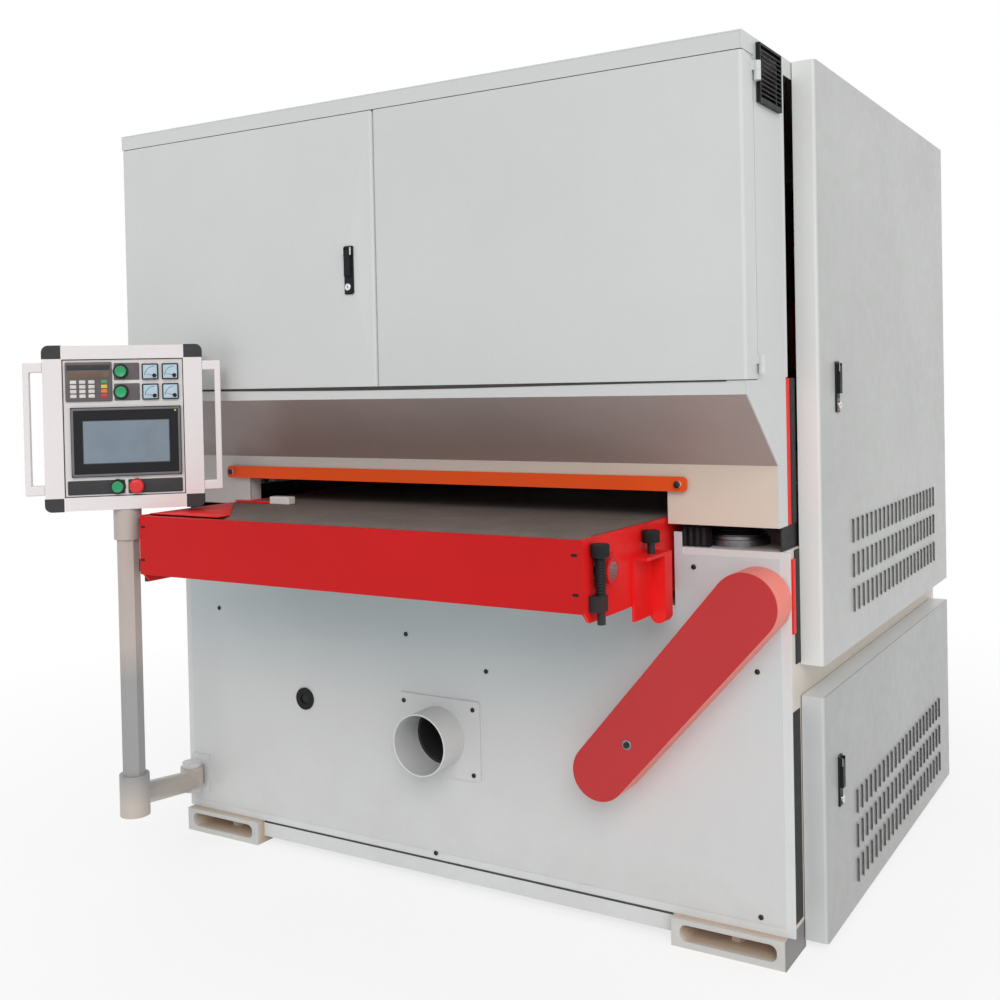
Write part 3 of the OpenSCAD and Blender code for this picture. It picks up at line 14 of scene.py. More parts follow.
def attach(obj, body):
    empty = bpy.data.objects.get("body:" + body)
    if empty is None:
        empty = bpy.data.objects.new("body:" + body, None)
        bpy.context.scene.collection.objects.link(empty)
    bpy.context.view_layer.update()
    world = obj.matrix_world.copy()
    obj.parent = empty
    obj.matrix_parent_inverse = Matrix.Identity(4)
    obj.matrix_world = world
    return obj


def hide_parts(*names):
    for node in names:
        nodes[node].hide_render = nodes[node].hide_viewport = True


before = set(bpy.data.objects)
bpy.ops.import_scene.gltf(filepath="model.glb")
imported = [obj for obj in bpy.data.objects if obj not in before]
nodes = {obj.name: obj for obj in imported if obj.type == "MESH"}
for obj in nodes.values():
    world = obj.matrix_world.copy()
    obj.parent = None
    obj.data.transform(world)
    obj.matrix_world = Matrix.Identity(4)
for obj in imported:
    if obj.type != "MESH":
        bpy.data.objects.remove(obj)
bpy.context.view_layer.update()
scene = bpy.context.scene
scene.view_settings.view_transform = "Standard"

CORNER = np.array([-0.9765, -0.929555, 0.0])
MM = 0.001
X, Y, Z = 0, 1, 2


def spot(x, y, z):
    """A place in the frame: millimetres from the body's corner, scaled and shifted by the corner."""
    return CORNER + np.array([x, y, z]) * MM


# Ways a flat face can look: its right, its up and its outward direction, as rows.
FRONT = np.array([[1, 0, 0], [0, 0, 1], [0, -1, 0]], float)
BACK = np.array([[-1, 0, 0], [0, 0, 1], [0, 1, 0]], float)
RIGHT = np.array([[0, 1, 0], [0, 0, 1], [1, 0, 0]], float)
LEFT = np.array([[0, -1, 0], [0, 0, 1], [-1, 0, 0]], float)
TOP = np.array([[1, 0, 0], [0, 1, 0], [0, 0, 1]], float)
HALF = math.sqrt(0.5)
PANEL = np.array([[HALF, HALF, 0], [0, 0, 1], [HALF, -HALF, 0]], float)
COLUMN = spot(215.0, -205.0, 1048.0)

# Planes and centres that fittings sit on, in millimetres from the corner
BASE_FRONT = 221
BASE_SIDE = 1900
JACK_TOP = 978
BELT_TOP = 1035.4
DOOR_FACE = 1958
ROOF = 2110
PORT_X, PORT_Z = 934, 410
MOTOR_X, MOTOR_Y = 227, 2183.7


# Camera

YAW, PITCH, ROLL = np.radians([31.25, 1.05, 1.18])
VIEWPOINT = spot(2793.96, -2492.61, 1371.69)
IMAGE = 1000.0
FOCAL = 1213.94
CENTRE_ROW = 403.11
SENSOR = 36.0


def aimed(axes, where=(0.0, 0.0, 0.0)):
    """Placing matrix: the columns of axes give the turn, and where gives the shift."""
    place = Matrix(axes.tolist()).to_4x4()
    place.translation = where
    return place


def photo_camera():
    """Camera at the viewing point: the look is turned by yaw and pitch, then rolled about itself."""
    up = np.array([0.0, 0.0, 1.0])
    ahead = np.array([-np.sin(YAW), np.cos(YAW), 0.0])
    right = np.array([np.cos(YAW), np.sin(YAW), 0.0])
    look = ahead * np.cos(PITCH) - up * np.sin(PITCH)
    lift = up * np.cos(PITCH) + ahead * np.sin(PITCH)
    axes = np.stack([right * np.cos(ROLL) - lift * np.sin(ROLL),
                     right * np.sin(ROLL) + lift * np.cos(ROLL), -look], 1)
    lens = bpy.data.cameras.new("viewing_lens")
    lens.sensor_width = SENSOR
    lens.lens = FOCAL * SENSOR / IMAGE
    lens.shift_y = -(IMAGE / 2 - CENTRE_ROW) / IMAGE
    lens.clip_start, lens.clip_end = 0.05, 200.0
    camera = bpy.data.objects.new("viewing_camera", lens)
    scene.collection.objects.link(camera)
    camera.matrix_world = aimed(axes, VIEWPOINT)
    scene.camera = camera


photo_camera()


# Finishes

# How many times a pattern repeats, roughly, in a metre
CLOUDS, STREAKS, SPECKLE, PEEL = 2.6, 260.0, 420.0, 650.0
DUST_TOP = 0.42


def tint(r, g, b):
    """A colour read in 8-bit screen steps, made linear: ((v + 0.055) / 1.055) to the power 2.4."""
    v = np.array([r, g, b]) / 255.0
    v = np.where(v <= 0.04045, v / 12.92, ((v + 0.055) / 1.055) ** 2.4)
    return (float(v[0]), float(v[1]), float(v[2]), 1.0)


def shade(colour, k):
    """The colour made darker or lighter by the factor k."""
    return tuple(min(c * k, 1.0) for c in colour[:3]) + (1.0,)


class Finish:
    """One material with its node tree, read on Object coordinates."""

    def __init__(self, name):
        self.mat = bpy.data.materials.new(name)
        self.mat.use_nodes = True
        self.tree = self.mat.node_tree
        self.shader = self.tree.nodes["Principled BSDF"]
        self.coords = self.add("ShaderNodeTexCoord").outputs["Object"]

    def add(self, kind, **props):
        """A new node with the given properties."""
        node = self.tree.nodes.new(kind)
        for key, value in props.items():
            setattr(node, key, value)
        return node

    def join(self, a, b):
        """A link from output a to input b."""
        self.tree.links.new(a, b)

    def stretched(self, scale):
        """Object coordinates, scaled by a different factor along each axis."""
        node = self.add("ShaderNodeMapping")
        node.inputs["Scale"].default_value = scale
        self.join(self.coords, node.inputs["Vector"])
        return node.outputs["Vector"]

    def noise(self, scale, detail=3.0, rough=0.55, vector=None):
        """Cloud pattern, with its scale per metre."""
        node = self.add("ShaderNodeTexNoise")
        node.inputs["Scale"].default_value = scale
        node.inputs["Detail"].default_value = detail
        node.inputs["Roughness"].default_value = rough
        self.join(self.coords if vector is None else vector, node.inputs["Vector"])
        return node.outputs["Fac"]

    def ramp(self, fac, stops):
        """Colours along a 0 to 1 value: stops are (place, colour) pairs."""
        node = self.add("ShaderNodeValToRGB")
        band = node.color_ramp
        band.elements[0].position, band.elements[0].color = stops[0]
        band.elements[1].position, band.elements[1].color = stops[-1]
        for place, colour in stops[1:-1]:
            band.elements.new(place).color = colour
        self.join(fac, node.inputs["Fac"])
        return node.outputs["Color"]

    def span(self, value, from_low, from_high, to_low, to_high):
        """The value carried from one range into another, held at the ends."""
        node = self.add("ShaderNodeMapRange")
        ends = {"From Min": from_low, "From Max": from_high, "To Min": to_low, "To Max": to_high}
        for key, number in ends.items():
            node.inputs[key].default_value = number
        self.join(value, node.inputs["Value"])
        return node.outputs["Result"]

    def sums(self, op, a, b):
        """Two values joined by one operation."""
        node = self.add("ShaderNodeMath", operation=op)
        for i, v in enumerate((a, b)):
            if isinstance(v, (int, float)):
                node.inputs[i].default_value = v
            else:
                self.join(v, node.inputs[i])
        return node.outputs[0]

    def blend(self, fac, a, b, way="MIX"):
        """Colour a mixed with colour b by fac."""
        node = self.add("ShaderNodeMix", data_type="RGBA", blend_type=way)
        for key, v in ((0, fac), (6, a), (7, b)):
            if isinstance(v, (int, float, tuple)):
                node.inputs[key].default_value = v
            else:
                self.join(v, node.inputs[key])
        return node.outputs[2]

    def axis(self, which):
        """The place along one axis, in metres."""
        node = self.add("ShaderNodeSeparateXYZ")
        self.join(self.coords, node.inputs[0])
        return node.outputs[which]

    def between(self, which, start, end):
        """0 at start and 1 at end, given in millimetres from the body's corner along one axis."""
        low, high = (CORNER[which] + place * MM for place in (start, end))
        return self.span(self.axis(which), low, high, 0.0, 1.0)

    def bump(self, height, strength, distance):
        """Relief from a height, laid over the relief that is already there."""
        node = self.add("ShaderNodeBump")
        node.inputs["Strength"].default_value = strength
        node.inputs["Distance"].default_value = distance
        self.join(height, node.inputs["Height"])
        if self.shader.inputs["Normal"].is_linked:
            self.join(self.shader.inputs["Normal"].links[0].from_socket, node.inputs["Normal"])
        self.join(node.outputs["Normal"], self.shader.inputs["Normal"])

    def set(self, **values):
        """Values or links for the shader's sockets, named in lower case."""
        for key, v in values.items():
            socket = self.shader.inputs[key.replace("_", " ").title().replace("Ior", "IOR")]
            if isinstance(v, (int, float, tuple)):
                socket.default_value = v
            else:
                self.join(v, socket)


def paint(name, colour, rough=0.38, peel=0.05, dust=0.0, cloud=0.05, gloss=0.5, fades=()):
    """Stoved paint: cloudy shade, fine speckle, orange-peel bumps, uneven gloss, and dust low down.

    Each fade is (axis, from, to, colour): along that axis, in millimetres from the body's corner,
    the paint passes into the other colour.
    """
    f = Finish(name)
    cloudy = f.ramp(f.noise(CLOUDS, 4.0),
                    [(0.30, shade(colour, 1 - cloud)), (0.70, shade(colour, 1 + cloud * 0.8))])
    grain = f.ramp(f.noise(SPECKLE, 2.0), [(0.35, shade(colour, 0.95)), (0.65, shade(colour, 1.04))])
    base = f.blend(0.35, cloudy, grain)
    for which, start, end, other in fades:
        grown = f.ramp(f.noise(2.2, 4.0),
                       [(0.30, shade(other, 1 - cloud)), (0.70, shade(other, 1 + cloud))])
        base = f.blend(f.between(which, start, end), base, grown)
    if dust:
        low = f.span(f.axis(Z), 0.0, DUST_TOP, 1.0, 0.0)
        patch = f.sums("MULTIPLY", low, f.span(f.noise(9.0, 6.0, 0.65), 0.38, 0.68, 0.0, dust))
        base = f.blend(patch, base, tint(150, 142, 130))
    f.join(base, f.shader.inputs["Base Color"])
    f.set(roughness=f.span(f.noise(30.0, 4.0), 0.3, 0.7, rough - 0.06, rough + 0.07))
    f.set(specular_ior_level=gloss)
    f.bump(f.noise(PEEL, 2.0), peel, 0.0006)
    f.bump(f.noise(5.0, 2.0), 0.05, 0.004)
    return f.mat


def metal(name, colour, rough=0.32, brush=(1, 1, 1), depth=0.25, stain=0.0):
    """Bare metal: fine streaks drawn out along the axis with the smallest brush factor, and stains."""
    f = Finish(name)
    streak = f.noise(STREAKS, 3.0, 0.6, f.stretched(brush))
    base = f.ramp(streak, [(0.25, shade(colour, 0.82)), (0.75, shade(colour, 1.10))])
    if stain:
        spots = f.span(f.noise(24.0, 5.0, 0.7), 0.45, 0.75, 0.0, stain)
        base = f.blend(spots, base, tint(96, 78, 60))
    f.join(base, f.shader.inputs["Base Color"])
    f.set(metallic=1.0, roughness=f.span(streak, 0.2, 0.8, rough - 0.08, rough + 0.10))
    f.bump(streak, depth, 0.0002)
    return f.mat


def plastic(name, colour, rough=0.42, grain=0.10, gloss=0.5):
    """Moulded plastic: a slight shade drift and a fine eroded texture."""
    f = Finish(name)
    drift = f.ramp(f.noise(14.0, 3.0), [(0.3, shade(colour, 0.90)), (0.7, shade(colour, 1.08))])
    f.join(drift, f.shader.inputs["Base Color"])
    f.set(roughness=f.span(f.noise(60.0, 3.0), 0.3, 0.7, rough - 0.05, rough + 0.06))
    f.set(specular_ior_level=gloss)
    f.bump(f.noise(900.0, 2.0), grain, 0.0003)
    return f.mat


def rubber(name, colour, rough=0.75, weave=0.0):
    """Rubber: blotchy dark shade with pale rubbed dust, and fine cross ribs where weave is given."""
    f = Finish(name)
    blot = f.ramp(f.noise(11.0, 6.0, 0.65),
                  [(0.28, shade(colour, 0.78)), (0.62, colour), (0.82, shade(colour, 1.45))])
    f.join(blot, f.shader.inputs["Base Color"])
    f.set(roughness=f.span(f.noise(40.0, 4.0), 0.3, 0.7, rough - 0.08, rough + 0.08))
    if weave:
        ribs = []
        for way, bend in (("X", 0.4), ("Y", 0.0)):
            wave = f.add("ShaderNodeTexWave", bands_direction=way)
            wave.inputs["Scale"].default_value = 62.0
            wave.inputs["Distortion"].default_value = bend
            f.join(f.coords, wave.inputs["Vector"])
            ribs.append(wave.outputs["Fac"])
        f.bump(f.sums("MULTIPLY", *ribs), weave, 0.0008)
    f.bump(f.noise(700.0, 3.0), 0.15, 0.0004)
    return f.mat


def abrasive(name, colour):
    """Coated abrasive: a cell pattern of grains with dark hollows between them and dusty clouds."""
    f = Finish(name)
    cells = f.add("ShaderNodeTexVoronoi", feature="F1")
    cells.inputs["Scale"].default_value = 900.0
    f.join(f.coords, cells.inputs["Vector"])
    grains = f.ramp(cells.outputs["Distance"],
                    [(0.10, shade(colour, 1.35)), (0.55, colour), (0.90, shade(colour, 0.55))])
    dusty = f.blend(f.span(f.noise(7.0, 5.0), 0.4, 0.7, 0.0, 0.35), grains, tint(176, 150, 120))
    f.join(dusty, f.shader.inputs["Base Color"])
    f.set(roughness=0.86)
    f.bump(cells.outputs["Distance"], 0.6, 0.0006)
    return f.mat


def adjuster_finish(name):
    """Blackened studs, with red paint over the bearing plates, told apart by their place along Y."""
    f = Finish(name)
    dark, red = tint(40, 40, 42), tint(214, 30, 30)
    stops = [(0.0, dark), (0.330, dark), (0.345, red), (0.885, red), (0.90, dark), (1.0, dark)]
    bands = f.ramp(f.between(Y, -220, -100), stops)
    worn = f.ramp(f.noise(160.0, 4.0), [(0.3, (0.80, 0.80, 0.80, 1.0)), (0.7, (1.0, 1.0, 1.0, 1.0))])
    f.join(f.blend(1.0, bands, worn, "MULTIPLY"), f.shader.inputs["Base Color"])
    f.set(roughness=f.span(f.noise(60.0, 3.0), 0.3, 0.7, 0.36, 0.50), specular_ior_level=0.3)
    f.bump(f.noise(500.0, 2.0), 0.1, 0.0004)
    return f.mat


SKIN = {
    "body": paint("light_grey_enamel", tint(205, 207, 206), 0.36, 0.05, dust=0.22, cloud=0.035),
    # Side doors: the front edge and returns are painted lighter and the broad outer face, beyond X 1951,
    # darker, as painted light and shade of one paint.
    "side": paint("side_door_enamel", tint(228, 229, 227), 0.38, 0.05, dust=0.10, cloud=0.05,
                  fades=[(X, 1951, 1957.5, tint(182, 183, 181))]),
    "low_side": paint("lower_door_enamel", tint(206, 208, 209), 0.40, 0.05, dust=0.16, cloud=0.06,
                      fades=[(X, 1951, 1957.5, tint(164, 165, 164))]),
    "base": paint("base_enamel", tint(207, 208, 208), 0.44, 0.07, dust=0.12, cloud=0.03,
                  fades=[(Z, 480, 720, tint(198, 210, 212))]),
    # Jaw and rear hood: a warm grey, painted greyer and darker towards the left end as painted shadow of
    # the operator panel.
    "jaw": paint("warm_grey_jaw", tint(188, 188, 186), 0.45, 0.06, cloud=0.04,
                 fades=[(X, 250, 1500, tint(214, 199, 184))]),
    # Hood: the slanted face looks downwards, so its whole darker, warmer colour is painted shade over the
    # body paint; its left end is painted darker still as painted shadow.
    "hood": paint("hood_painted_shade", tint(140, 133, 128), 0.40, 0.06, cloud=0.08,
                  fades=[(X, 150, 900, tint(170, 157, 152))]),
    # Arm and column: the low arm, below Z 240, is painted lighter and warmer as painted light; from Z 320
    # to 580 the column is a darker grey, and above Z 680 it is warm grey again.
    "column": paint("column_enamel", tint(190, 181, 172), 0.42, 0.06, dust=0.2,
                    fades=[(Z, 240, 320, tint(152, 152, 152)), (Z, 580, 680, tint(184, 172, 165))]),
    "foot": paint("foot_enamel", tint(200, 199, 195), 0.48, 0.07, cloud=0.06,
                  fades=[(Y, 199, 216, tint(196, 176, 156)),
                         (Y, 1400, 1500, tint(200, 199, 195)),
                         # The right foot's outer face, past X 1899.5, is painted dark grey as painted
                         # shade.
                         (X, 1896, 1899.5, tint(122, 120, 117))]),
    "red": paint("signal_red", tint(196, 18, 20), 0.40, 0.05, cloud=0.07, gloss=0.2),
    "bright_red": paint("conveyor_red", tint(228, 30, 30), 0.38, 0.05, cloud=0.08, gloss=0.25),
    # Guard: the rim behind its front face is painted a light pinkish red as a painted highlight from the
    # right-hand light.
    "guard": paint("guard_red", tint(188, 50, 52), 0.45, 0.12, cloud=0.06, gloss=0.3,
                   fades=[(Y, 117, 123, tint(234, 128, 114))]),
    "orange": paint("bar_orange", tint(238, 84, 24), 0.40, 0.05, cloud=0.06, gloss=0.2),
    "frame_grey": paint("frame_grey", tint(178, 180, 182), 0.48, 0.08, dust=0.3, cloud=0.06),
    "motor": paint("motor_grey_blue", tint(112, 124, 136), 0.5, 0.14, cloud=0.07),
    "rail": paint("pale_panel_frame", tint(224, 218, 218), 0.42, 0.05, cloud=0.03),
    "steel": metal("turned_steel", tint(176, 178, 182), 0.28, (0.04, 1, 1), 0.20),
    "plate": metal("zinc_plate", tint(186, 188, 192), 0.40, (0.5, 0.5, 0.5), 0.12),
    "iron": metal("machined_iron", tint(140, 140, 142), 0.42, (1, 1, 0.2), 0.22, 0.25),
    "chrome": metal("polished_chrome", tint(222, 224, 228), 0.10, (1, 1, 1), 0.03),
    "dark_steel": metal("blackened_steel", tint(62, 60, 60), 0.42, (1, 1, 1), 0.25, 0.3),
    "black": plastic("black_moulding", tint(28, 29, 32), 0.46, gloss=0.18),
    "cap": plastic("corner_cap_grey", tint(58, 58, 60), 0.5, gloss=0.2),
    "label": plastic("label_plate_mauve", tint(100, 92, 96), 0.5, gloss=0.2),
    "belt": rubber("feed_belt_rubber", tint(108, 98, 92), 0.78, 0.8),
    "drum": rubber("drum_rubber", tint(52, 50, 50), 0.7),
    "vbelt": rubber("drive_belt_rubber", tint(36, 36, 37), 0.8),
    "grit": abrasive("belt_grit", tint(142, 88, 56)),
    "adjuster": adjuster_finish("adjuster_black"),
    # Dark grey of the door seal and the sill strip, which stand for painted shadow.
    "seal": plastic("seal_and_shadow_grey", tint(70, 68, 66), 0.7, gloss=0.15),
    "green": plastic("button_green", tint(24, 150, 96), 0.28, 0.03),
    "stop": plastic("button_red", tint(214, 38, 40), 0.26, 0.03),
    "pale_key": plastic("pale_key", tint(206, 204, 198), 0.40, 0.05),
    "yellow_key": plastic("yellow_key", tint(214, 190, 60), 0.38, 0.05),
    "orange_key": plastic("orange_key", tint(222, 120, 44), 0.38, 0.05),
    "red_key": plastic("red_key", tint(196, 48, 44), 0.38, 0.05),
    "green_key": plastic("green_key", tint(70, 150, 84), 0.38, 0.05),
    "grey_edge": plastic("screen_edge_grey", tint(104, 104, 108), 0.4, 0.06, gloss=0.3),
    "display": plastic("brown_display", tint(104, 82, 66), 0.16, 0.02),
    "glass": plastic("blue_grey_glass", tint(118, 132, 144), 0.10, 0.01),
    "dial": plastic("pale_blue_dial", tint(176, 200, 214), 0.30, 0.02),
    "lamp": plastic("lamp_green", tint(176, 206, 60), 0.20, 0.02),
    "bronze": metal("bronzed_plate", tint(120, 92, 70), 0.38, (1, 1, 0.2), 0.12),
    "face": paint("face_plate_pale", tint(214, 210, 208), 0.42, 0.06, cloud=0.04),
    "border": paint("base_border_enamel", tint(214, 216, 216), 0.44, 0.07, dust=0.12, cloud=0.04,
                    fades=[(Y, 236, 300, tint(206, 196, 184)),
                           (X, 1885, 1850, tint(214, 216, 216)),
                           (Y, 1780, 1806, tint(214, 216, 216))]),
}


def dress(skin, *names):
    """Gives the named solids one finish."""
    for name in names:
        data = nodes[name].data
        data.materials.clear()
        data.materials.append(SKIN[skin])


dress("body", "cabinet_shell", "left_door", "right_door", "head_hinges")
dress("hood", "front_hood")
dress("side", "upper_side_door")
dress("low_side", "lower_side_door")
dress("base", "base_front_panel", "front_dust_port", "arm_bracket")
dress("foot", "levelling_feet")
dress("border", "base_frame")
dress("jaw", "front_jaw", "rear_hood")
dress("orange", "safety_bar")
dress("red", "conveyor_front_cover")
dress("bright_red", "conveyor_frame", "head_frame")
dress("guard", "lift_chain_guard")
dress("column", "panel_arm")
dress("rail", "panel_case", "panel_handles")
dress("cap", "panel_corners")
dress("face", "panel_face")
dress("black", "touch_screen", "keypad", "vent_grille", "cable_grommet", "meters")
dress("black", "left_door_lever", "upper_door_lever", "lower_door_lever")
dress("green", "head_one_button", "head_two_button", "feed_button")
dress("stop", "stop_button")
dress("belt", "feed_belt")
dress("grit", "sanding_belts")
dress("vbelt", "drive_belts")
dress("drum", "contact_drum_1", "contact_drum_2", "front_press_roller", "rear_press_roller")
dress("steel", "tension_roller_1", "tension_roller_2", "drive_roller", "idler_roller", "lift_screws")
dress("iron", "jack_housings", "drum_bearings", "motor_pulley")
dress("adjuster", "take_up_bearings")
dress("plate", "electrical_plate", "tension_cylinders", "dust_hoods")
dress("frame_grey", "tension_yoke_1", "tension_yoke_2")
dress("motor", "main_motor", "lift_motor", "feed_gearmotor")


# Floor, light and background

FLOOR_REACH = 30.0


def white_seen(tree):
    """1 for rays that look straight, in a mirror or through glass, else 0."""
    path = tree.nodes.new("ShaderNodeLightPath")
    total = path.outputs["Is Camera Ray"]
    for other in ("Is Glossy Ray", "Is Transmission Ray"):
        most = tree.nodes.new("ShaderNodeMath")
        most.operation = "MAXIMUM"
        tree.links.new(total, most.inputs[0])
        tree.links.new(path.outputs[other], most.inputs[1])
        total = most.outputs[0]
    return total


def studio():
    """Pale floor that keeps the shadow and fades to white far out, an even sky and a wide soft lamp."""
    sky = bpy.data.worlds.new("even_sky")
    scene.world = sky
    sky.use_nodes = True
    tree = sky.node_tree
    lit = tree.nodes["Background"]
    lit.inputs["Color"].default_value = (0.96, 0.98, 1.0, 1.0)
    lit.inputs["Strength"].default_value = 0.60
    seen = tree.nodes.new("ShaderNodeBackground")
    seen.inputs["Color"].default_value = (1.0, 1.0, 1.0, 1.0)
    seen.inputs["Strength"].default_value = 1.0
    mix = tree.nodes.new("ShaderNodeMixShader")
    tree.links.new(white_seen(tree), mix.inputs[0])
    tree.links.new(lit.outputs[0], mix.inputs[1])
    tree.links.new(seen.outputs[0], mix.inputs[2])
    tree.links.new(mix.outputs[0], tree.nodes["World Output"].inputs["Surface"])

    angle = circle(96)
    radius = FLOOR_REACH * np.linspace(0.0, 1.0, 24)[1:, None] ** 2
    across, along = radius * np.cos(angle), radius * np.sin(angle)
    disc = np.stack([across, along, np.zeros_like(across)], -1)
    floor = mesh_of("studio_floor", [Grid(disc, first=True)])
    f = Finish("pale_floor")
    pale = f.ramp(f.noise(1.4, 3.0), [(0.3, (0.90, 0.90, 0.90, 1)), (0.7, (0.94, 0.94, 0.94, 1))])
    f.set(base_color=pale, roughness=0.9, specular_ior_level=0.1)
    glow = f.add("ShaderNodeEmission")
    glow.inputs["Color"].default_value = (1, 1, 1, 1)
    glow.inputs["Strength"].default_value = 1.0
    reach = f.add("ShaderNodeVectorMath", operation="LENGTH")
    f.join(f.coords, reach.inputs[0])
    fade = f.span(reach.outputs["Value"], 1.2, 3.4, 0.74, 1.0)
    both = f.add("ShaderNodeMixShader")
    f.join(f.sums("MULTIPLY", fade, white_seen(f.tree)), both.inputs[0])
    f.join(f.shader.outputs[0], both.inputs[1])
    f.join(glow.outputs[0], both.inputs[2])
    f.join(both.outputs[0], f.tree.nodes["Material Output"].inputs["Surface"])
    floor.data.materials.append(f.mat)

    lamp("soft_key", np.array([0.42, -0.72, 0.55]), 1.30, 35, (1.0, 0.99, 0.97))
    lamp("side_fill", np.array([0.95, -0.20, 0.25]), 0.40, 60, (1.0, 1.0, 1.0))


def lamp(name, back, energy, spread_angle, colour):
    """Far soft lamp: its Z axis points back along the light, its X axis lies level."""
    light = bpy.data.lights.new(name, "SUN")
    light.energy = energy
    light.angle = math.radians(spread_angle)
    light.color = colour
    holder = bpy.data.objects.new(name, light)
    scene.collection.objects.link(holder)
    back = back / np.linalg.norm(back)
    side = np.cross([0, 0, 1], back)
    side = side / np.linalg.norm(side)
    holder.matrix_world = aimed(np.stack([side, np.cross(back, side), back], 1))


# Surfaces

SHARP = math.radians(35)
EDGE_STEPS = 4
CORNER_STEPS = 6


class Grid:
    """A surface as rows of points, closed across the columns, with a pole on the first or last row."""

    def __init__(self, points, first=False, last=False, ring=False):
        self.points = np.asarray(points, float)
        self.first, self.last, self.ring = first, last, ring


def mesh_of(name, grids):
    """One object of several grids: quads join row to row, and a pole joins an end row to its middle."""
    places, quads, fans, base = [], [], [], 0
    for g in grids:
        m, n = g.points.shape[:2]
        index = base + np.arange(m * n).reshape(m, n)
        rows = index if not g.ring else np.vstack([index, index[:1]])
        a, b = rows[:-1], rows[1:]
        quads.append(np.stack([a, np.roll(a, -1, 1), np.roll(b, -1, 1), b], -1).reshape(-1, 4))
        places.append(g.points.reshape(-1, 3))
        base += m * n
        for wanted, row, flip in ((g.first, index[0], True), (g.last, index[-1], False)):
            if wanted:
                places.append(g.points[0 if flip else -1].mean(0)[None])
                pole = np.full(n, base)
                tri = np.stack([row, np.roll(row, -1), pole], -1)
                fans.append(tri[:, ::-1] if flip else tri)
                base += 1
    quads = np.vstack(quads)
    fans = np.vstack(fans) if fans else np.zeros((0, 3), int)
    data = bpy.data.meshes.new(name)
    places = np.vstack(places)
    data.vertices.add(len(places))
    data.vertices.foreach_set("co", places.astype(np.float32).ravel())
    loops = np.concatenate([quads.ravel(), fans.ravel()]).astype(np.int32)
    starts = np.concatenate([np.arange(len(quads)) * 4, len(quads) * 4 + np.arange(len(fans)) * 3])
    starts = starts.astype(np.int32)
    data.loops.add(len(loops))
    data.loops.foreach_set("vertex_index", loops)
    data.polygons.add(len(starts))
    data.polygons.foreach_set("loop_start", starts)
    data.update(calc_edges=True)
    data.validate()
    piece = bpy.data.objects.new(name, data)
    scene.collection.objects.link(piece)
    return piece


def put(points, where, axes, turn=0.0):
    """Points given as (right, up, out) on a face, turned on that face and carried to where."""
    c, s = math.cos(turn), math.sin(turn)
    spin = np.array([[c, s, 0], [-s, c, 0], [0, 0, 1]])
    return points @ spin @ axes + where


def circle(turns):
    """Angles evenly round one turn."""
    return np.linspace(0, 2 * np.pi, turns, endpoint=False)


def swept(angle, rows):
    """Rows of points round the out direction: a radius, fixed or one for each angle, at each height."""
    return [np.column_stack([r * np.cos(angle), r * np.sin(angle), np.full(len(angle), z)])
            for r, z in rows]


def lathe(profile, turns=24):
    """Turned shape: each (radius, height) of the profile swept round the out direction."""
    return np.stack(swept(circle(turns), np.asarray(profile, float) * MM))


def outline(w, h, c):
    """Rectangle with arc corners: each corner's centre plus c times (cos, sin) over its quarter turn."""
    quarter = np.arange(4)[:, None] * np.pi / 2 + np.linspace(0, np.pi / 2, CORNER_STEPS)
    centre = np.array([[1, 1], [-1, 1], [-1, -1], [1, -1]]) * [w / 2 - c, h / 2 - c]
    return (centre[:, None, :] + c * np.stack([np.cos(quarter), np.sin(quarter)], -1)).reshape(-1, 2)


def level(flat, z):
    """Flat points, all lifted to one height."""
    return np.column_stack([flat, np.full(len(flat), z)])


def stacked(w, h, corner, insets, heights):
    """Rows of a rounded rectangle, each drawn in by its inset and lifted to its height."""
    return [level(outline(w - 2 * i, h - 2 * i, max(corner - i, 0.2)), z) for i, z in zip(insets, heights)]


def slab(w, h, t, corner, edge, crown=0.0):
    """Raised plate: the outline shrinks by edge(1 - cos) as it rises by edge sin, with a crowned middle."""
    s = np.linspace(0, np.pi / 2, EDGE_STEPS)
    insets = np.concatenate([[0.0], edge * (1 - np.cos(s))])
    heights = np.concatenate([[0.0], t - edge + edge * np.sin(s)])
    rows = stacked(w, h, corner, insets, heights)
    if crown:
        top = rows[-1][:, :2]
        rows += [level(top * q, t + crown * (1 - q * q)) for q in (0.75, 0.45, 0.15)]
    return np.stack(rows) * MM


def bezel(w, h, rim, t, corner, edge):
    """Picture-frame ring: a rounded section carried round a rectangular outline, outer side first."""
    s = np.linspace(0, np.pi / 2, EDGE_STEPS)
    insets = np.concatenate([[0.0], edge * (1 - np.cos(s)), rim - edge * (1 - np.cos(s[::-1])), [rim]])
    rise = t - edge + edge * np.sin(s)
    heights = np.concatenate([[0.0], rise, rise[::-1], [0.0]])
    return np.stack(stacked(w, h, corner, insets, heights)) * MM


def fit(name, grids, skin, body):
    """Makes the piece, gives it its finish, and lets it ride on its body."""
    piece = mesh_of(name, grids)
    piece.data.materials.append(SKIN[skin])
    work = bmesh.new()
    work.from_mesh(piece.data)
    bmesh.ops.remove_doubles(work, verts=work.verts, dist=1e-7)
    bmesh.ops.recalc_face_normals(work, faces=work.faces)
    work.to_mesh(piece.data)
    work.free()
    piece.data.shade_smooth()
    piece.data.set_sharp_from_angle(angle=SHARP)
    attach(piece, body)
    return piece


def round_edges(piece, width):
    """Rounds the sharp edges of a piece by width millimetres."""
    tool = piece.modifiers.new("rounded_edges", "BEVEL")
    tool.width = width * MM
    tool.segments = 2
    tool.limit_method = "ANGLE"
    tool.angle_limit = math.radians(40)
    tool.harden_normals = True
    tool.use_clamp_overlap = True


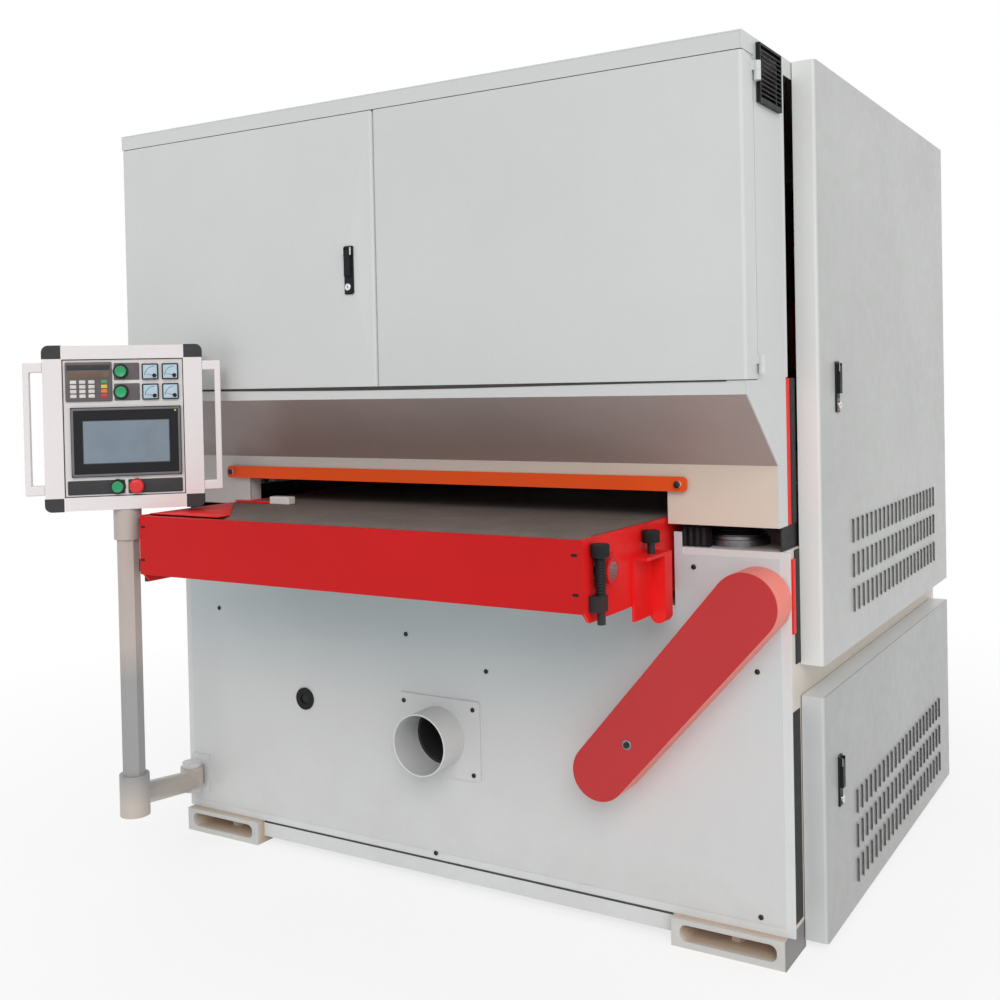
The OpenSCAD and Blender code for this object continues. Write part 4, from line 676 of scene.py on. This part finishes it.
def softened(node, skin, body, width):
    """Copy of a solid with points merged, flat triangles paired and edges rounded, in its own place."""
    data = nodes[node].data.copy()
    data.name = node + "_rounded"
    work = bmesh.new()
    work.from_mesh(data)
    bmesh.ops.remove_doubles(work, verts=work.verts, dist=2e-6)
    bmesh.ops.join_triangles(work, faces=work.faces, angle_face_threshold=math.radians(0.5),
                             angle_shape_threshold=math.radians(120))
    work.to_mesh(data)
    work.free()
    data.materials.clear()
    data.materials.append(SKIN[skin])
    data.shade_smooth()
    data.set_sharp_from_angle(angle=SHARP)
    piece = bpy.data.objects.new(node + "_rounded", data)
    scene.collection.objects.link(piece)
    round_edges(piece, width)
    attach(piece, body)
    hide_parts(node)
    return piece


# Repeated small shapes

def spread(shape, places, axes, turns=None):
    """The same grid of points set at each of the places, each turned by its own angle on the face."""
    turns = [0.0] * len(places) if turns is None else turns
    return [put(shape, where, axes, turn) for where, turn in zip(places, turns)]


def domed_screw(r, h, turns=18):
    """Pan head: a straight rim, a dome that falls as the cosine of the radius, and a round recess."""
    a = np.linspace(0, 1.2, 5)
    dome = np.column_stack([r * np.cos(a * 0.95), h * (0.35 + 0.65 * np.sin(a) / math.sin(1.2))])
    rim = np.array([[r, 0.0]])
    hollow = np.array([[r * 0.36, h * 0.98], [r * 0.33, h * 0.45]])
    return lathe(np.vstack([rim, dome, hollow]), turns)


def hex_head(r, h, edge=0.8):
    """Six-sided head: the radius is r cos 30 / cos(angle from the nearest flat), with a chamfered top."""
    angle = circle(24)
    off = (angle + np.pi / 6) % (np.pi / 3) - np.pi / 6
    six = r * math.cos(np.pi / 6) / np.cos(off)
    top = np.minimum(six, r * 0.93)
    rows = [(six, 0.0), (six, h - edge), (top, h), (top * 0.55, h), (top * 0.5, h - 0.4)]
    return np.stack(swept(angle, rows)) * MM


def caps(shapes):
    """Grids that are open below and closed by a pole on top."""
    return [Grid(shape, last=True) for shape in shapes]


def solids(shapes):
    """Grids closed by a pole at both ends."""
    return [Grid(shape, first=True, last=True) for shape in shapes]


def rings(shapes):
    """Grids whose first row is also their last, so the section closes on itself."""
    return [Grid(shape, ring=True) for shape in shapes]


def carried(lines):
    """A section's lines, in millimetres from the corner, joined into one run of the section."""
    return CORNER + np.stack(lines, 1) * MM


def screws(name, r, h, places, axes, body):
    """Blackened pan heads of one size at the given places."""
    fit(name, caps(spread(domed_screw(r, h), places, axes)), "dark_steel", body)


# Operator panel

PLATE_MIDDLE, PLATE_TOP, PLATE_OUT = 156.0, 404.0, 34.0


def panel_spot(right, down, out=0.0):
    """A place on the panel's plate: millimetres right and down from its upper left corner, and out."""
    return COLUMN + (np.array([right - PLATE_MIDDLE, PLATE_TOP - down, PLATE_OUT + out]) * MM) @ PANEL


def build_keypad():
    """Keypad: a crowned black plate, a sunk brown display, and rows of crowned keys in four columns."""
    left, top, wide, high = 8.1, 8.1, 118.9, 104.9
    middle = (left + wide / 2, top + high / 2)
    base = fit("keypad_plate", caps(spread(slab(wide, high, 5.0, 4.0, 1.2), [panel_spot(*middle)], PANEL)),
               "label", "panel")
    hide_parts("keypad")
    strip = put(slab(110.0, 14.0, 0.9, 2.0, 0.4), panel_spot(middle[0], top + 14.0, 4.8), PANEL)
    fit("keypad_strip", caps([strip]), "cap", "panel")
    display = put(slab(104.0, 17.0, 1.1, 1.5, 0.4), panel_spot(middle[0], top + high * 0.32, 4.8), PANEL)
    fit("keypad_display", caps([display]), "display", "panel")
    key = slab(16.0, 9.4, 2.0, 1.8, 0.8, crown=0.35)
    rows = top + high * np.linspace(0.505, 0.86, 4)
    pale = [panel_spot(left + wide * q, r, 4.8) for q in (0.17, 0.365, 0.56) for r in rows]
    fit("keypad_keys", caps(spread(key, pale, PANEL)), "pale_key", "panel")
    for name, r in zip(("green", "yellow", "orange", "red"), rows):
        fit("keypad_key_" + name, caps(spread(key, [panel_spot(left + wide * 0.83, r, 4.8)], PANEL)),
            name + "_key", "panel")


def build_meters():
    """Pointer meters: a rounded frame, a dial, an arc of scale, a tapered needle and the pivot's cover."""
    side = 43.0
    middles = [(x + side / 2, y + side / 2) for y in (14.0, 68.0) for x in (204.0, 256.0)]
    places = [panel_spot(*m) for m in middles]
    frames = spread(bezel(side, side, 3.2, 7.4, 3.0, 1.0), places, PANEL)
    piece = fit("meter_frames", rings(frames), "black", "panel")
    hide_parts("meters")
    dials = spread(slab(37.6, 37.6, 5.6, 1.0, 0.3), places, PANEL)
    fit("meter_dials", caps(dials), "dial", "panel")
    pivots = [panel_spot(m[0] + 11.0, m[1] + 11.0, 5.4) for m in middles]
    corner = lathe([(5.6, 0.0), (5.6, 1.0), (5.1, 1.5), (2.6, 1.6), (2.2, 1.3), (1.2, 1.3)], 20)
    fit("meter_pivots", caps(spread(corner, pivots, PANEL)), "black", "panel")
    angle = np.radians(np.linspace(92, 178, 18))
    band = np.stack(swept(angle, ((24.4, 0.0), (24.4, 0.45), (25.6, 0.45), (25.6, 0.0))), 1) * MM
    fit("meter_scales", solids(spread(band, pivots, PANEL)), "black", "panel")
    along = np.linspace(4.6, 23.5, 6)
    half = np.linspace(0.8, 0.25, 6)
    corners = ((-1, 0.0), (1, 0.0), (1, 0.6), (-1, 0.6))
    section = [np.column_stack([along, edge * half, np.full(6, z)]) for edge, z in corners]
    needle = np.stack(section, 1) * MM
    raised = [w + PANEL[2] * 0.0008 for w in pivots]
    needles = spread(needle, raised, PANEL, np.radians([168, 166, 170, 164]))
    fit("meter_needles", solids(needles), "stop", "panel")


def build_screen():
    """Touch screen: the housing with soft edges, a glass sunk in it, a thin inner frame and a lamp."""
    softened("touch_screen", "black", "panel", 2.2)
    middle = (161.0, 222.0)
    glass = put(slab(222.0, 114.0, 1.2, 2.0, 0.4), panel_spot(*middle, 6.9), PANEL)
    fit("screen_glass", caps([glass]), "glass", "panel")
    rim = put(bezel(226.0, 118.0, 2.6, 2.0, 2.4, 0.7), panel_spot(*middle, 7.0), PANEL)
    fit("screen_rim", rings([rim]), "cap", "panel")
    edge = put(bezel(281.0, 182.0, 6.0, 1.1, 5.0, 0.5), panel_spot(*middle, 8.8), PANEL)
    fit("screen_edge", rings([edge]), "grey_edge", "panel")
    dot = lathe([(2.6, 0.0), (2.6, 0.8), (2.0, 1.5), (1.0, 1.8)], 14)
    lens = put(dot, panel_spot(289.0, 141.0, 8.9), PANEL)
    fit("screen_lamp", caps([lens]), "lamp", "panel")


def build_buttons():
    """Push buttons: turned caps, dished or domed, on stems, collars, a face joint and backing plates."""
    places = {"head_one_button": (150.0, 33.9), "head_two_button": (150.0, 89.1),
              "feed_button": (135.1, 343.0), "stop_button": (184.1, 343.0)}
    dished = lathe([(8, -20), (8, 7.4), (14.0, 7.4), (15, 8.4), (15, 16.6), (14.4, 18.4), (13.0, 19.2),
                    (11.4, 18.9), (6, 18.1), (2, 17.9)], 32)
    rise = np.linspace(0, np.pi / 2, 6)
    dome = np.column_stack([20 - 6 * (1 - np.cos(rise)), 9.5 + 9.6 * np.sin(rise)])
    mushroom = lathe(np.vstack([[(8, -20), (8, 7.4), (18.6, 7.4)], dome]), 32)
    for name, (x, y) in places.items():
        red = name == "stop_button"
        shape = put(mushroom if red else dished, panel_spot(x, y), PANEL)
        cap = fit(name + "_cap", solids([shape]), "stop" if red else "green", name)
        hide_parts(name)
    collar = lathe([(20.6, 0), (20.6, 2.5), (20.0, 3.1), (10.0, 3.1), (9.2, 2.6), (9.2, 0.0)], 32)
    collars = spread(collar, [panel_spot(*m) for m in places.values()], PANEL)
    fit("button_collars", rings(collars), "dark_steel", "panel")
    joint = put(bezel(311.6, 367.6, 2.2, 1.2, 1.0, 0.4), panel_spot(156, 184), PANEL)
    fit("face_joint", rings([joint]), "cap", "panel")
    plates = {"upper_plates": ("label", ((132, 11, 66, 46), (132, 66, 66, 46))),
              "lower_plates": ("cap", ((8, 324, 146, 38), (162, 324, 142, 38)))}
    for name, (skin, fields) in plates.items():
        backs = [put(slab(w, h, 1.9, 3.0, 0.6), panel_spot(x + w / 2, y + h / 2), PANEL)
                 for x, y, w, h in fields]
        fit(name, caps(backs), skin, "panel")


build_keypad()
build_meters()
build_screen()
build_buttons()
softened("panel_case", "rail", "panel", 2.0)
softened("panel_handles", "rail", "panel", 3.0)
softened("panel_corners", "cap", "panel", 4.0)


# Latches

def build_latch(name, where, axes, body, low_skin):
    """Latch: a black tray with cheeks, a lower field of its own finish and a turned lock with a slit."""
    tray = [put(slab(28.8, 124.8, 4.25, 2.5, 0.9), where, axes)]
    for side in (-12.0, 12.0):
        beside = where + (np.array([side, 48.0, 0.0]) * MM) @ axes
        tray.append(put(slab(4.5, 20.6, 11.9, 1.0, 0.8), beside, axes))
    fit(name + "_tray", caps(tray), "black", body)
    foot = where + (np.array([0.0, -44.0, 4.0]) * MM) @ axes
    field = put(slab(24.0, 33.0, 0.8, 2.0, 0.3), foot, axes)
    fit(name + "_field", caps([field]), low_skin, body)
    lock = lathe([(9.2, 0), (9.2, 4.6), (8.4, 5.4), (7.2, 5.4), (6.9, 4.9), (3.0, 4.9)], 28)
    fit(name + "_lock", caps([put(lock, foot + axes[2] * 0.0006, axes)]), "chrome", body)
    slit = put(slab(1.6, 7.0, 0.5, 0.7, 0.2), foot + axes[2] * 0.0054, axes)
    fit(name + "_key_slit", caps([slit]), "black", body)


build_latch("left_latch", spot(834, 0, 1666), FRONT, "left_door", "black")
build_latch("upper_latch", spot(DOOR_FACE, 473, 1340), RIGHT, "upper_door", "bronze")
build_latch("lower_latch", spot(DOOR_FACE, 448, 380), RIGHT, "lower_door", "black")
softened("left_door_lever", "black", "left_lever", 1.4)
softened("upper_door_lever", "black", "upper_lever", 1.4)
softened("lower_door_lever", "black", "lower_lever", 1.4)


# Base and conveyor fittings

def build_base_fittings():
    """Screws of the base panel and port, the rolled rim of the port, and the guard's bolt and washer."""
    panel = [(128, 695), (828, 678), (1087, 602), (1680, 917), (1834, 681), (1833, 104), (913, 85)]
    screws("base_panel_screws", 6.4, 3.6, [spot(x, BASE_FRONT, z) for x, z in panel], FRONT, "base")
    flange = [spot(x, 216, z) for x in (820, 1045) for z in (319, 495)]
    screws("port_screws", 6.4, 3.6, flange, FRONT, "base")
    a = circle(12)
    rim = lathe(np.column_stack([81.5 + 2.6 * np.cos(a), 2.0 + 2.6 * np.sin(a)]), 64)
    fit("port_rim", rings([put(rim, spot(PORT_X, 123.5, PORT_Z), FRONT)]), "base", "base")
    on_guard = spot(1545, 116, 498)
    fit("guard_bolt", caps([put(hex_head(8.0, 6.0), on_guard, FRONT)]), "dark_steel", "base")
    washer = lathe([(12.0, 0), (12.0, 1.4), (11.4, 1.8), (5.0, 1.8)], 24)
    fit("guard_washer", caps([put(washer, on_guard, FRONT)]), "iron", "base")


def build_mouth():
    """Pieces of the head round the feed opening: cheeks in pale paint as painted light, bar screws, trim, a
    gasket and a dark sagging seal whose sag is painted shadow of the doors on the lip.
    """
    # The cheeks take the pale panel-frame paint, lighter than the jaw, as painted light on faces that sit
    # in shade.
    cheek = slab(45.0, 76.5, 2.4, 1.0, 0.5)
    cheeks = [put(cheek, spot(284.6, 222.6, 1059.5), RIGHT), put(cheek, spot(1627.4, 222.6, 1059.5), LEFT)]
    fit("mouth_cheeks", caps(cheeks), "rail", "head")
    screws("bar_screws", 8.6, 3.4, [spot(x, 176, 1117.5) for x in (229, 1659)], FRONT, "head")

    edge = [put(slab(13.0, 704.0, 4.2, 3.0, 2.4), spot(1897.5, 265.5, 1718), RIGHT)]
    fit("window_trim", caps(edge), "body", "head")

    strip = put(slab(32.0, 342.0, 2.0, 1.2, 0.8), spot(1897, 313.5, 1192.5), RIGHT)
    fit("post_gasket", caps([strip]), "vbelt", "head")

    # A dark seal in the seam under the doors, hanging lower in the middle: the sag paints the doors' soft
    # shadow on the lip.
    along = np.linspace(0.0, 1.0, 60)
    drop = 2.2 + 6.0 * np.sin(np.pi * along) ** 2
    bead = [(-0.2, 0.0), (-1.6, -0.1), (-2.0, -0.5), (-1.2, -1.0), (-0.2, -1.0)]
    lines = [np.column_stack([4.0 + 1850.0 * along, np.full(60, y), 1362.6 + q * drop]) for y, q in bead]
    fit("door_seal_and_shadow", solids([carried(lines)]), "seal", "head")


def build_base_top():
    """Dust lips that wave along the sides, folded screw boots with their rings, and a ridged stop block."""
    way = np.linspace(0.0, 1.0, 80)
    wave = 0.8 * np.sin(40.0 * way)
    lip = [(-1.5, 963.3), (1.5, 963.3), (1.3, 1040.0), (0.6, 1045.0), (-0.6, 1045.0), (-1.3, 1040.0)]
    back = 232.0 + 1198.0 * way
    lips = [carried([np.column_stack([x + dx + wave, back, np.full(80, z)]) for dx, z in lip])
            for x in (7.5, 1892.5)]
    fit("dust_lips", solids(lips), "vbelt", "base")

    fold = np.linspace(0.0, 1.0, 45)
    boot = np.column_stack([56.0 + 9.0 * np.cos(10 * np.pi * fold), 0.4 + 37.0 * fold])
    boot = np.vstack([boot, [(48.0, 37.4), (31.2, 37.4), (31.2, 0.4)]])
    jacks = [spot(x, y, JACK_TOP) for x in (155, 1745) for y in (345, 1691)]
    fit("screw_boots", rings(spread(lathe(boot, 48), jacks, TOP)), "vbelt", "base")
    ring = lathe([(66.5, 0.3), (74.0, 0.3), (74.0, 8.0), (73.0, 9.6), (70.6, 9.6), (70.0, 11.6),
                  (67.0, 11.8), (66.5, 11.0)], 56)
    fit("boot_rings", rings(spread(ring, jacks, TOP)), "iron", "base")

    width = np.linspace(1646.0, 1712.0, 34)
    ridge = 1.6 * np.cos((width - width[0]) * 2 * np.pi / 16.5)
    block = [(262.0, 963.3, 0), (239.0, 963.3, 1), (239.0, 1010.0, 1), (243.0, 1014.0, 0.4),
             (262.0, 1014.0, 0)]
    lines = [np.column_stack([width, y + q * (1.6 - ridge), np.full(34, z)]) for y, z, q in block]
    fit("stop_block", solids([carried(lines)]), "black", "base")


def plan_plate(points, t, edge):
    """Flat plate from a plan outline: three rings, the last drawn in to its middle by the edge share."""
    flat = np.asarray(points, float)
    middle = flat.mean(0)
    inner = middle + (flat - middle) * (1 - edge)
    return np.stack([level(flat, 0.0), level(flat, t * 0.7), level(inner, t)]) * MM


def build_conveyor_fittings():
    """Corner plate, slots of the front cover, knurled grips and springs of the adjusters, a guide shoe."""
    corner = plan_plate([(300, -204), (548, -204), (548, -160), (330, 82), (300, 110)], 1.6, 0.006)
    fit("corner_plate", caps([corner + spot(0, 0, 1034.4)]), "bright_red", "base")
    slots = [spot(x, -236, z) for x, z in ((1599, 1001), (1601, 917), (307, 1003), (304, 915))]
    slits = spread(slab(15.0, 6.4, 0.9, 3.0, 0.4), slots, FRONT)
    fit("cover_slots", caps(slits), "black", "base")

    angle = circle(144)
    knurl = 0.7 * np.cos(24 * angle)
    rows = [(17.6, 0.0, 0.0), (19.3, 1.2, 0.6), (19.7, 2.4, 1.0), (19.7, 25.4, 1.0), (19.3, 26.8, 0.6),
            (17.4, 28.2, 0.0), (7.0, 28.6, 0.0)]
    grip = np.stack(swept(angle, [(r + q * knurl, z) for r, z, q in rows])) * MM
    knobs = [spot(273.7, -191.7, 994), spot(1638.3, -191.7, 994), spot(1638.3, 70, 992.7)]
    fit("adjuster_grips", caps(spread(grip, knobs, TOP)), "black", "base")
    turn = np.linspace(0.0, 1.0, 97)
    length = 82.0
    coil = np.column_stack([10.9 + 0.9 * np.cos(24 * np.pi * turn), length * turn])
    coil = np.vstack([coil, [(9.3, length), (9.3, 0.0)]])
    springs = spread(lathe(coil, 32), [w - TOP[2] * length * MM for w in knobs[:2]], TOP)
    fit("adjuster_springs", rings(springs), "black", "base")

    shoe = put(slab(71.0, 30.0, 20.0, 3.0, 2.0), spot(469.5, 133, BELT_TOP), TOP)
    fit("guide_shoe", caps([shoe]), "face", "base")
    bar = put(slab(150.0, 20.0, 5.0, 2.0, 0.8), spot(372, 133, BELT_TOP), TOP)
    fit("guide_bar", caps([bar]), "bright_red", "base")


def build_base_trim():
    """Dark strips on the right of the base and along the sill as painted shade, red trim, a dark port liner
    as painted shade inside the port, and the cable membrane.
    """
    # Dark strips on the base's right wall, seen in the gap before the side doors, stand for the shade
    # there: painted shade.
    gasket = put(slab(34.0, 270.0, 3.0, 1.4, 1.2), spot(BASE_SIDE, 317, 824), RIGHT)
    low = put(slab(90.0, 500.0, 1.6, 1.4, 0.8), spot(BASE_SIDE, 280, 330), RIGHT)
    fit("base_shadow_strips", caps([gasket, low]), "vbelt", "base")
    # A thin dark strip along the top of the sill stands for the shadow line under the base panel: painted
    # shadow.
    line = put(slab(1322.0, 5.0, 1.4, 1.0, 0.6), spot(950, 224, 64.5), FRONT)
    fit("sill_shadow_strip", caps([line]), "seal", "base")
    trim = put(slab(21.0, 177.0, 4.0, 2.0, 1.0), spot(BASE_SIDE, 288.5, 851.5), RIGHT)
    fit("base_trim", caps([trim]), "bright_red", "base")
    # The port's liner is dark grey so the inside of the port reads dark: painted shade.
    tube = lathe([(72.0, 0.0), (76.0, 0.0), (76.0, 190.0), (72.0, 190.0)], 56)
    fit("port_liner", rings([put(tube, spot(PORT_X, 420, PORT_Z), FRONT)]), "cap", "base")
    skin = lathe([(16.5, 0.0), (16.0, 1.2), (9.0, 2.2), (2.0, 2.4)], 40)
    fit("entry_membrane", caps([put(skin, spot(462, 224, 456), FRONT)]), "vbelt", "base")


# Back, left side, roof, feed motor and insides of the doors

SCREW_INSET = 22.0


def cover(name, wide, high, where, axes, skin, body, columns, rows):
    """Screwed cover: a thin plate with rounded corners, and pan heads evenly set along its border."""
    fit(name, caps([put(slab(wide, high, 3.0, 12.0, 1.2), where, axes)]), skin, body)
    across = (wide / 2 - SCREW_INSET) * np.linspace(-1.0, 1.0, columns)
    upward = (high / 2 - SCREW_INSET) * np.linspace(-1.0, 1.0, rows)
    border = [(x, z) for x in across for z in upward if abs(x) == across[-1] or abs(z) == upward[-1]]
    heads = [where + (np.array([x, z, 2.8]) * MM) @ axes for x, z in border]
    screws(name + "_screws", 6.4, 3.6, heads, axes, body)


def scoop(long, wide, rise):
    """Pressed louvre: a ramp across the slot, and its height falls to nothing at both ends."""
    place = np.linspace(-1.0, 1.0, 15)[:, None]
    swell = np.sqrt(np.clip(1.0 - place ** 6, 0.0, 1.0))
    across = np.array([-0.5, -0.3, 0.0, 0.3, 0.45, 0.5, 0.5])
    ramp = np.array([0.0, 0.28, 0.66, 0.93, 1.0, 0.9, 0.0])
    return np.stack(np.broadcast_arrays(across * wide, place * long / 2, swell * ramp * rise), -1) * MM


def torus(ring_r, tube_r, turns=28, sides=12):
    """Ring: a round section of radius tube_r carried round a circle of radius ring_r."""
    a, b = circle(turns)[:, None], circle(sides)
    reach = ring_r + tube_r * np.cos(b)
    return np.stack(np.broadcast_arrays(reach * np.cos(a), reach * np.sin(a), tube_r * np.sin(b)), -1) * MM


def build_back():
    """Covers of the back and left side, louvres, roof seams, lifting eyes and beads of the outlets."""
    cover("rear_cover", 1500.0, 480.0, spot(950, 2036, 1760), BACK, "body", "head", 8, 4)
    columns = np.linspace(430, 1470, 40)
    vents = [spot(x, 2038.6, z) for x in columns for z in (1700, 1800)]
    fit("rear_louvres", solids(spread(scoop(72.0, 13.0, 6.5), vents, BACK)), "body", "head")
    cover("left_cover", 1300.0, 420.0, spot(0, 1120, 1740), LEFT, "body", "head", 7, 3)
    cover("base_left_cover", 1100.0, 420.0, spot(0, 1020, 480), LEFT, "base", "base", 6, 3)
    cover("base_rear_cover", 1200.0, 380.0, spot(950, 1815, 430), BACK, "base", "base", 7, 3)

    seams = [put(slab(26.0, 1960.0, 3.0, 2.0, 1.4), spot(x, 1030, ROOF), TOP) for x in (420, 1680)]
    fit("roof_seams", caps(seams), "body", "head")
    feet, loops = [], []
    collar = lathe([(20.0, 0.0), (20.0, 5.0), (18.5, 7.0), (11.0, 9.0), (9.0, 14.0), (6.0, 15.0)], 28)
    for x in (250, 1790):
        for y in (220, 1830):
            feet.append(put(collar, spot(x, y, ROOF), TOP))
            loops.append(put(torus(20.0, 6.0), spot(x, y, ROOF + 32), FRONT))
    fit("eye_collars", caps(feet), "iron", "head")
    fit("eye_loops", rings(loops), "iron", "head")
    outlets = [(1120, 882), (1120, 1518)]
    beads = [put(torus(75.4, 2.8, 56), spot(x, y, z), TOP) for x, y in outlets for z in (2170, 2216.8)]
    fit("outlet_beads", rings(beads), "plate", "head")
    bolts = [spot(x + 88 * math.cos(a), y + 88 * math.sin(a), ROOF + 4)
             for x, y in outlets for a in circle(8)]
    screws("outlet_screws", 5.0, 3.0, bolts, TOP, "head")


def build_feed_motor():
    """Feed motor: cooling ribs as a squared wave round the barrel, a fan cowl and a terminal box."""
    way = np.linspace(0.0, 1.0, 121)
    wave = np.clip(2.5 * np.sin(24 * np.pi * way), -1.0, 1.0)
    ribs = np.column_stack([40.0 + 1.8 * wave, 140.0 * way])
    ribs = np.vstack([ribs, [(37.0, 140.0), (37.0, 0.0)]])
    barrel = put(lathe(ribs, 40), spot(MOTOR_X, MOTOR_Y, 736), TOP)
    fit("motor_ribs", rings([barrel]), "motor", "base")
    shell = [(36.0, 0.0), (40.0, 1.5), (42.5, 5.0), (42.5, 44.0), (41.0, 45.5), (37.0, 45.5), (36.0, 40.0)]
    cowl = put(lathe(shell, 40), spot(MOTOR_X, MOTOR_Y, 686), TOP)
    fit("motor_cowl", rings([cowl]), "motor", "base")
    middle = 806
    box = put(slab(58.0, 78.0, 34.0, 6.0, 3.0), spot(MOTOR_X, 2222, middle), BACK)
    fit("terminal_box", caps([box]), "motor", "base")
    lid = [spot(MOTOR_X + x, 2255.8, middle + z) for x in (-22, 22) for z in (-32, 32)]
    screws("terminal_screws", 3.4, 2.0, lid, BACK, "base")


def build_cabinet_inside():
    """Faces, toggles and clamp screws of the switch gear, and slotted wiring ducts between its rows."""
    columns = 154.8 + 123.17 * np.arange(6)
    rows = (1525.7, 1716.3, 1907.0)
    middles = [(x, z) for x in columns for z in rows]
    faces = spread(slab(64.0, 46.0, 5.0, 3.0, 1.4), [spot(x, 166, z) for x, z in middles], FRONT)
    fit("switch_faces", caps(faces), "face", "head")
    toggles = spread(slab(26.0, 14.0, 9.0, 2.0, 1.6), [spot(x, 161.4, z + 6) for x, z in middles], FRONT)
    fit("switch_toggles", caps(toggles), "black", "head")
    clamps = [spot(x + dx, 166, z + dz) for x, z in middles for dx in (-22, 0, 22) for dz in (-36, 36)]
    fit("switch_clamps", caps(spread(domed_screw(5.2, 2.4, 12), clamps, FRONT)), "plate", "head")
    long = np.linspace(0.0, 1.0, 361)
    tooth = np.where(np.sin(120 * np.pi * long) > 0, 46.0, 34.0)
    section = [(-22, 0.0), (-22, 1.0), (-18, 1.04), (18, 1.04), (22, 1.0), (22, 0.0)]
    ducts = []
    for z in (1425, 1621, 1811.6, 2003):
        lines = [np.column_stack([100.0 + 715.0 * long, 236.0 - q * tooth, np.full(361, z + dz)])
                 for dz, q in section]
        ducts.append(carried(lines))
    fit("wiring_ducts", solids(ducts), "rail", "head")


def build_door_backs():
    """Hat-section stiffeners on the inner faces of the side doors."""
    for body, heights in (("upper_door", (1500, 1880)), ("lower_door", (520,))):
        bars = [put(slab(1330.0, 56.0, 16.0, 3.0, 5.0), spot(1957, 1055, z), LEFT) for z in heights]
        fit(body + "_stiffeners", caps(bars), "side", body)


build_base_fittings()
build_mouth()
build_base_top()
build_conveyor_fittings()
build_base_trim()
build_back()
build_feed_motor()
build_cabinet_inside()
build_door_backs()
softened("conveyor_front_cover", "red", "base", 2.0)
softened("lift_chain_guard", "guard", "base", 3.0)
softened("panel_arm", "column", "arm", 3.0)
softened("levelling_feet", "foot", "base", 3.0)
softened("arm_bracket", "base", "base", 2.0)
softened("left_door", "body", "left_door", 1.5)
softened("right_door", "body", "right_door", 1.5)

studio()
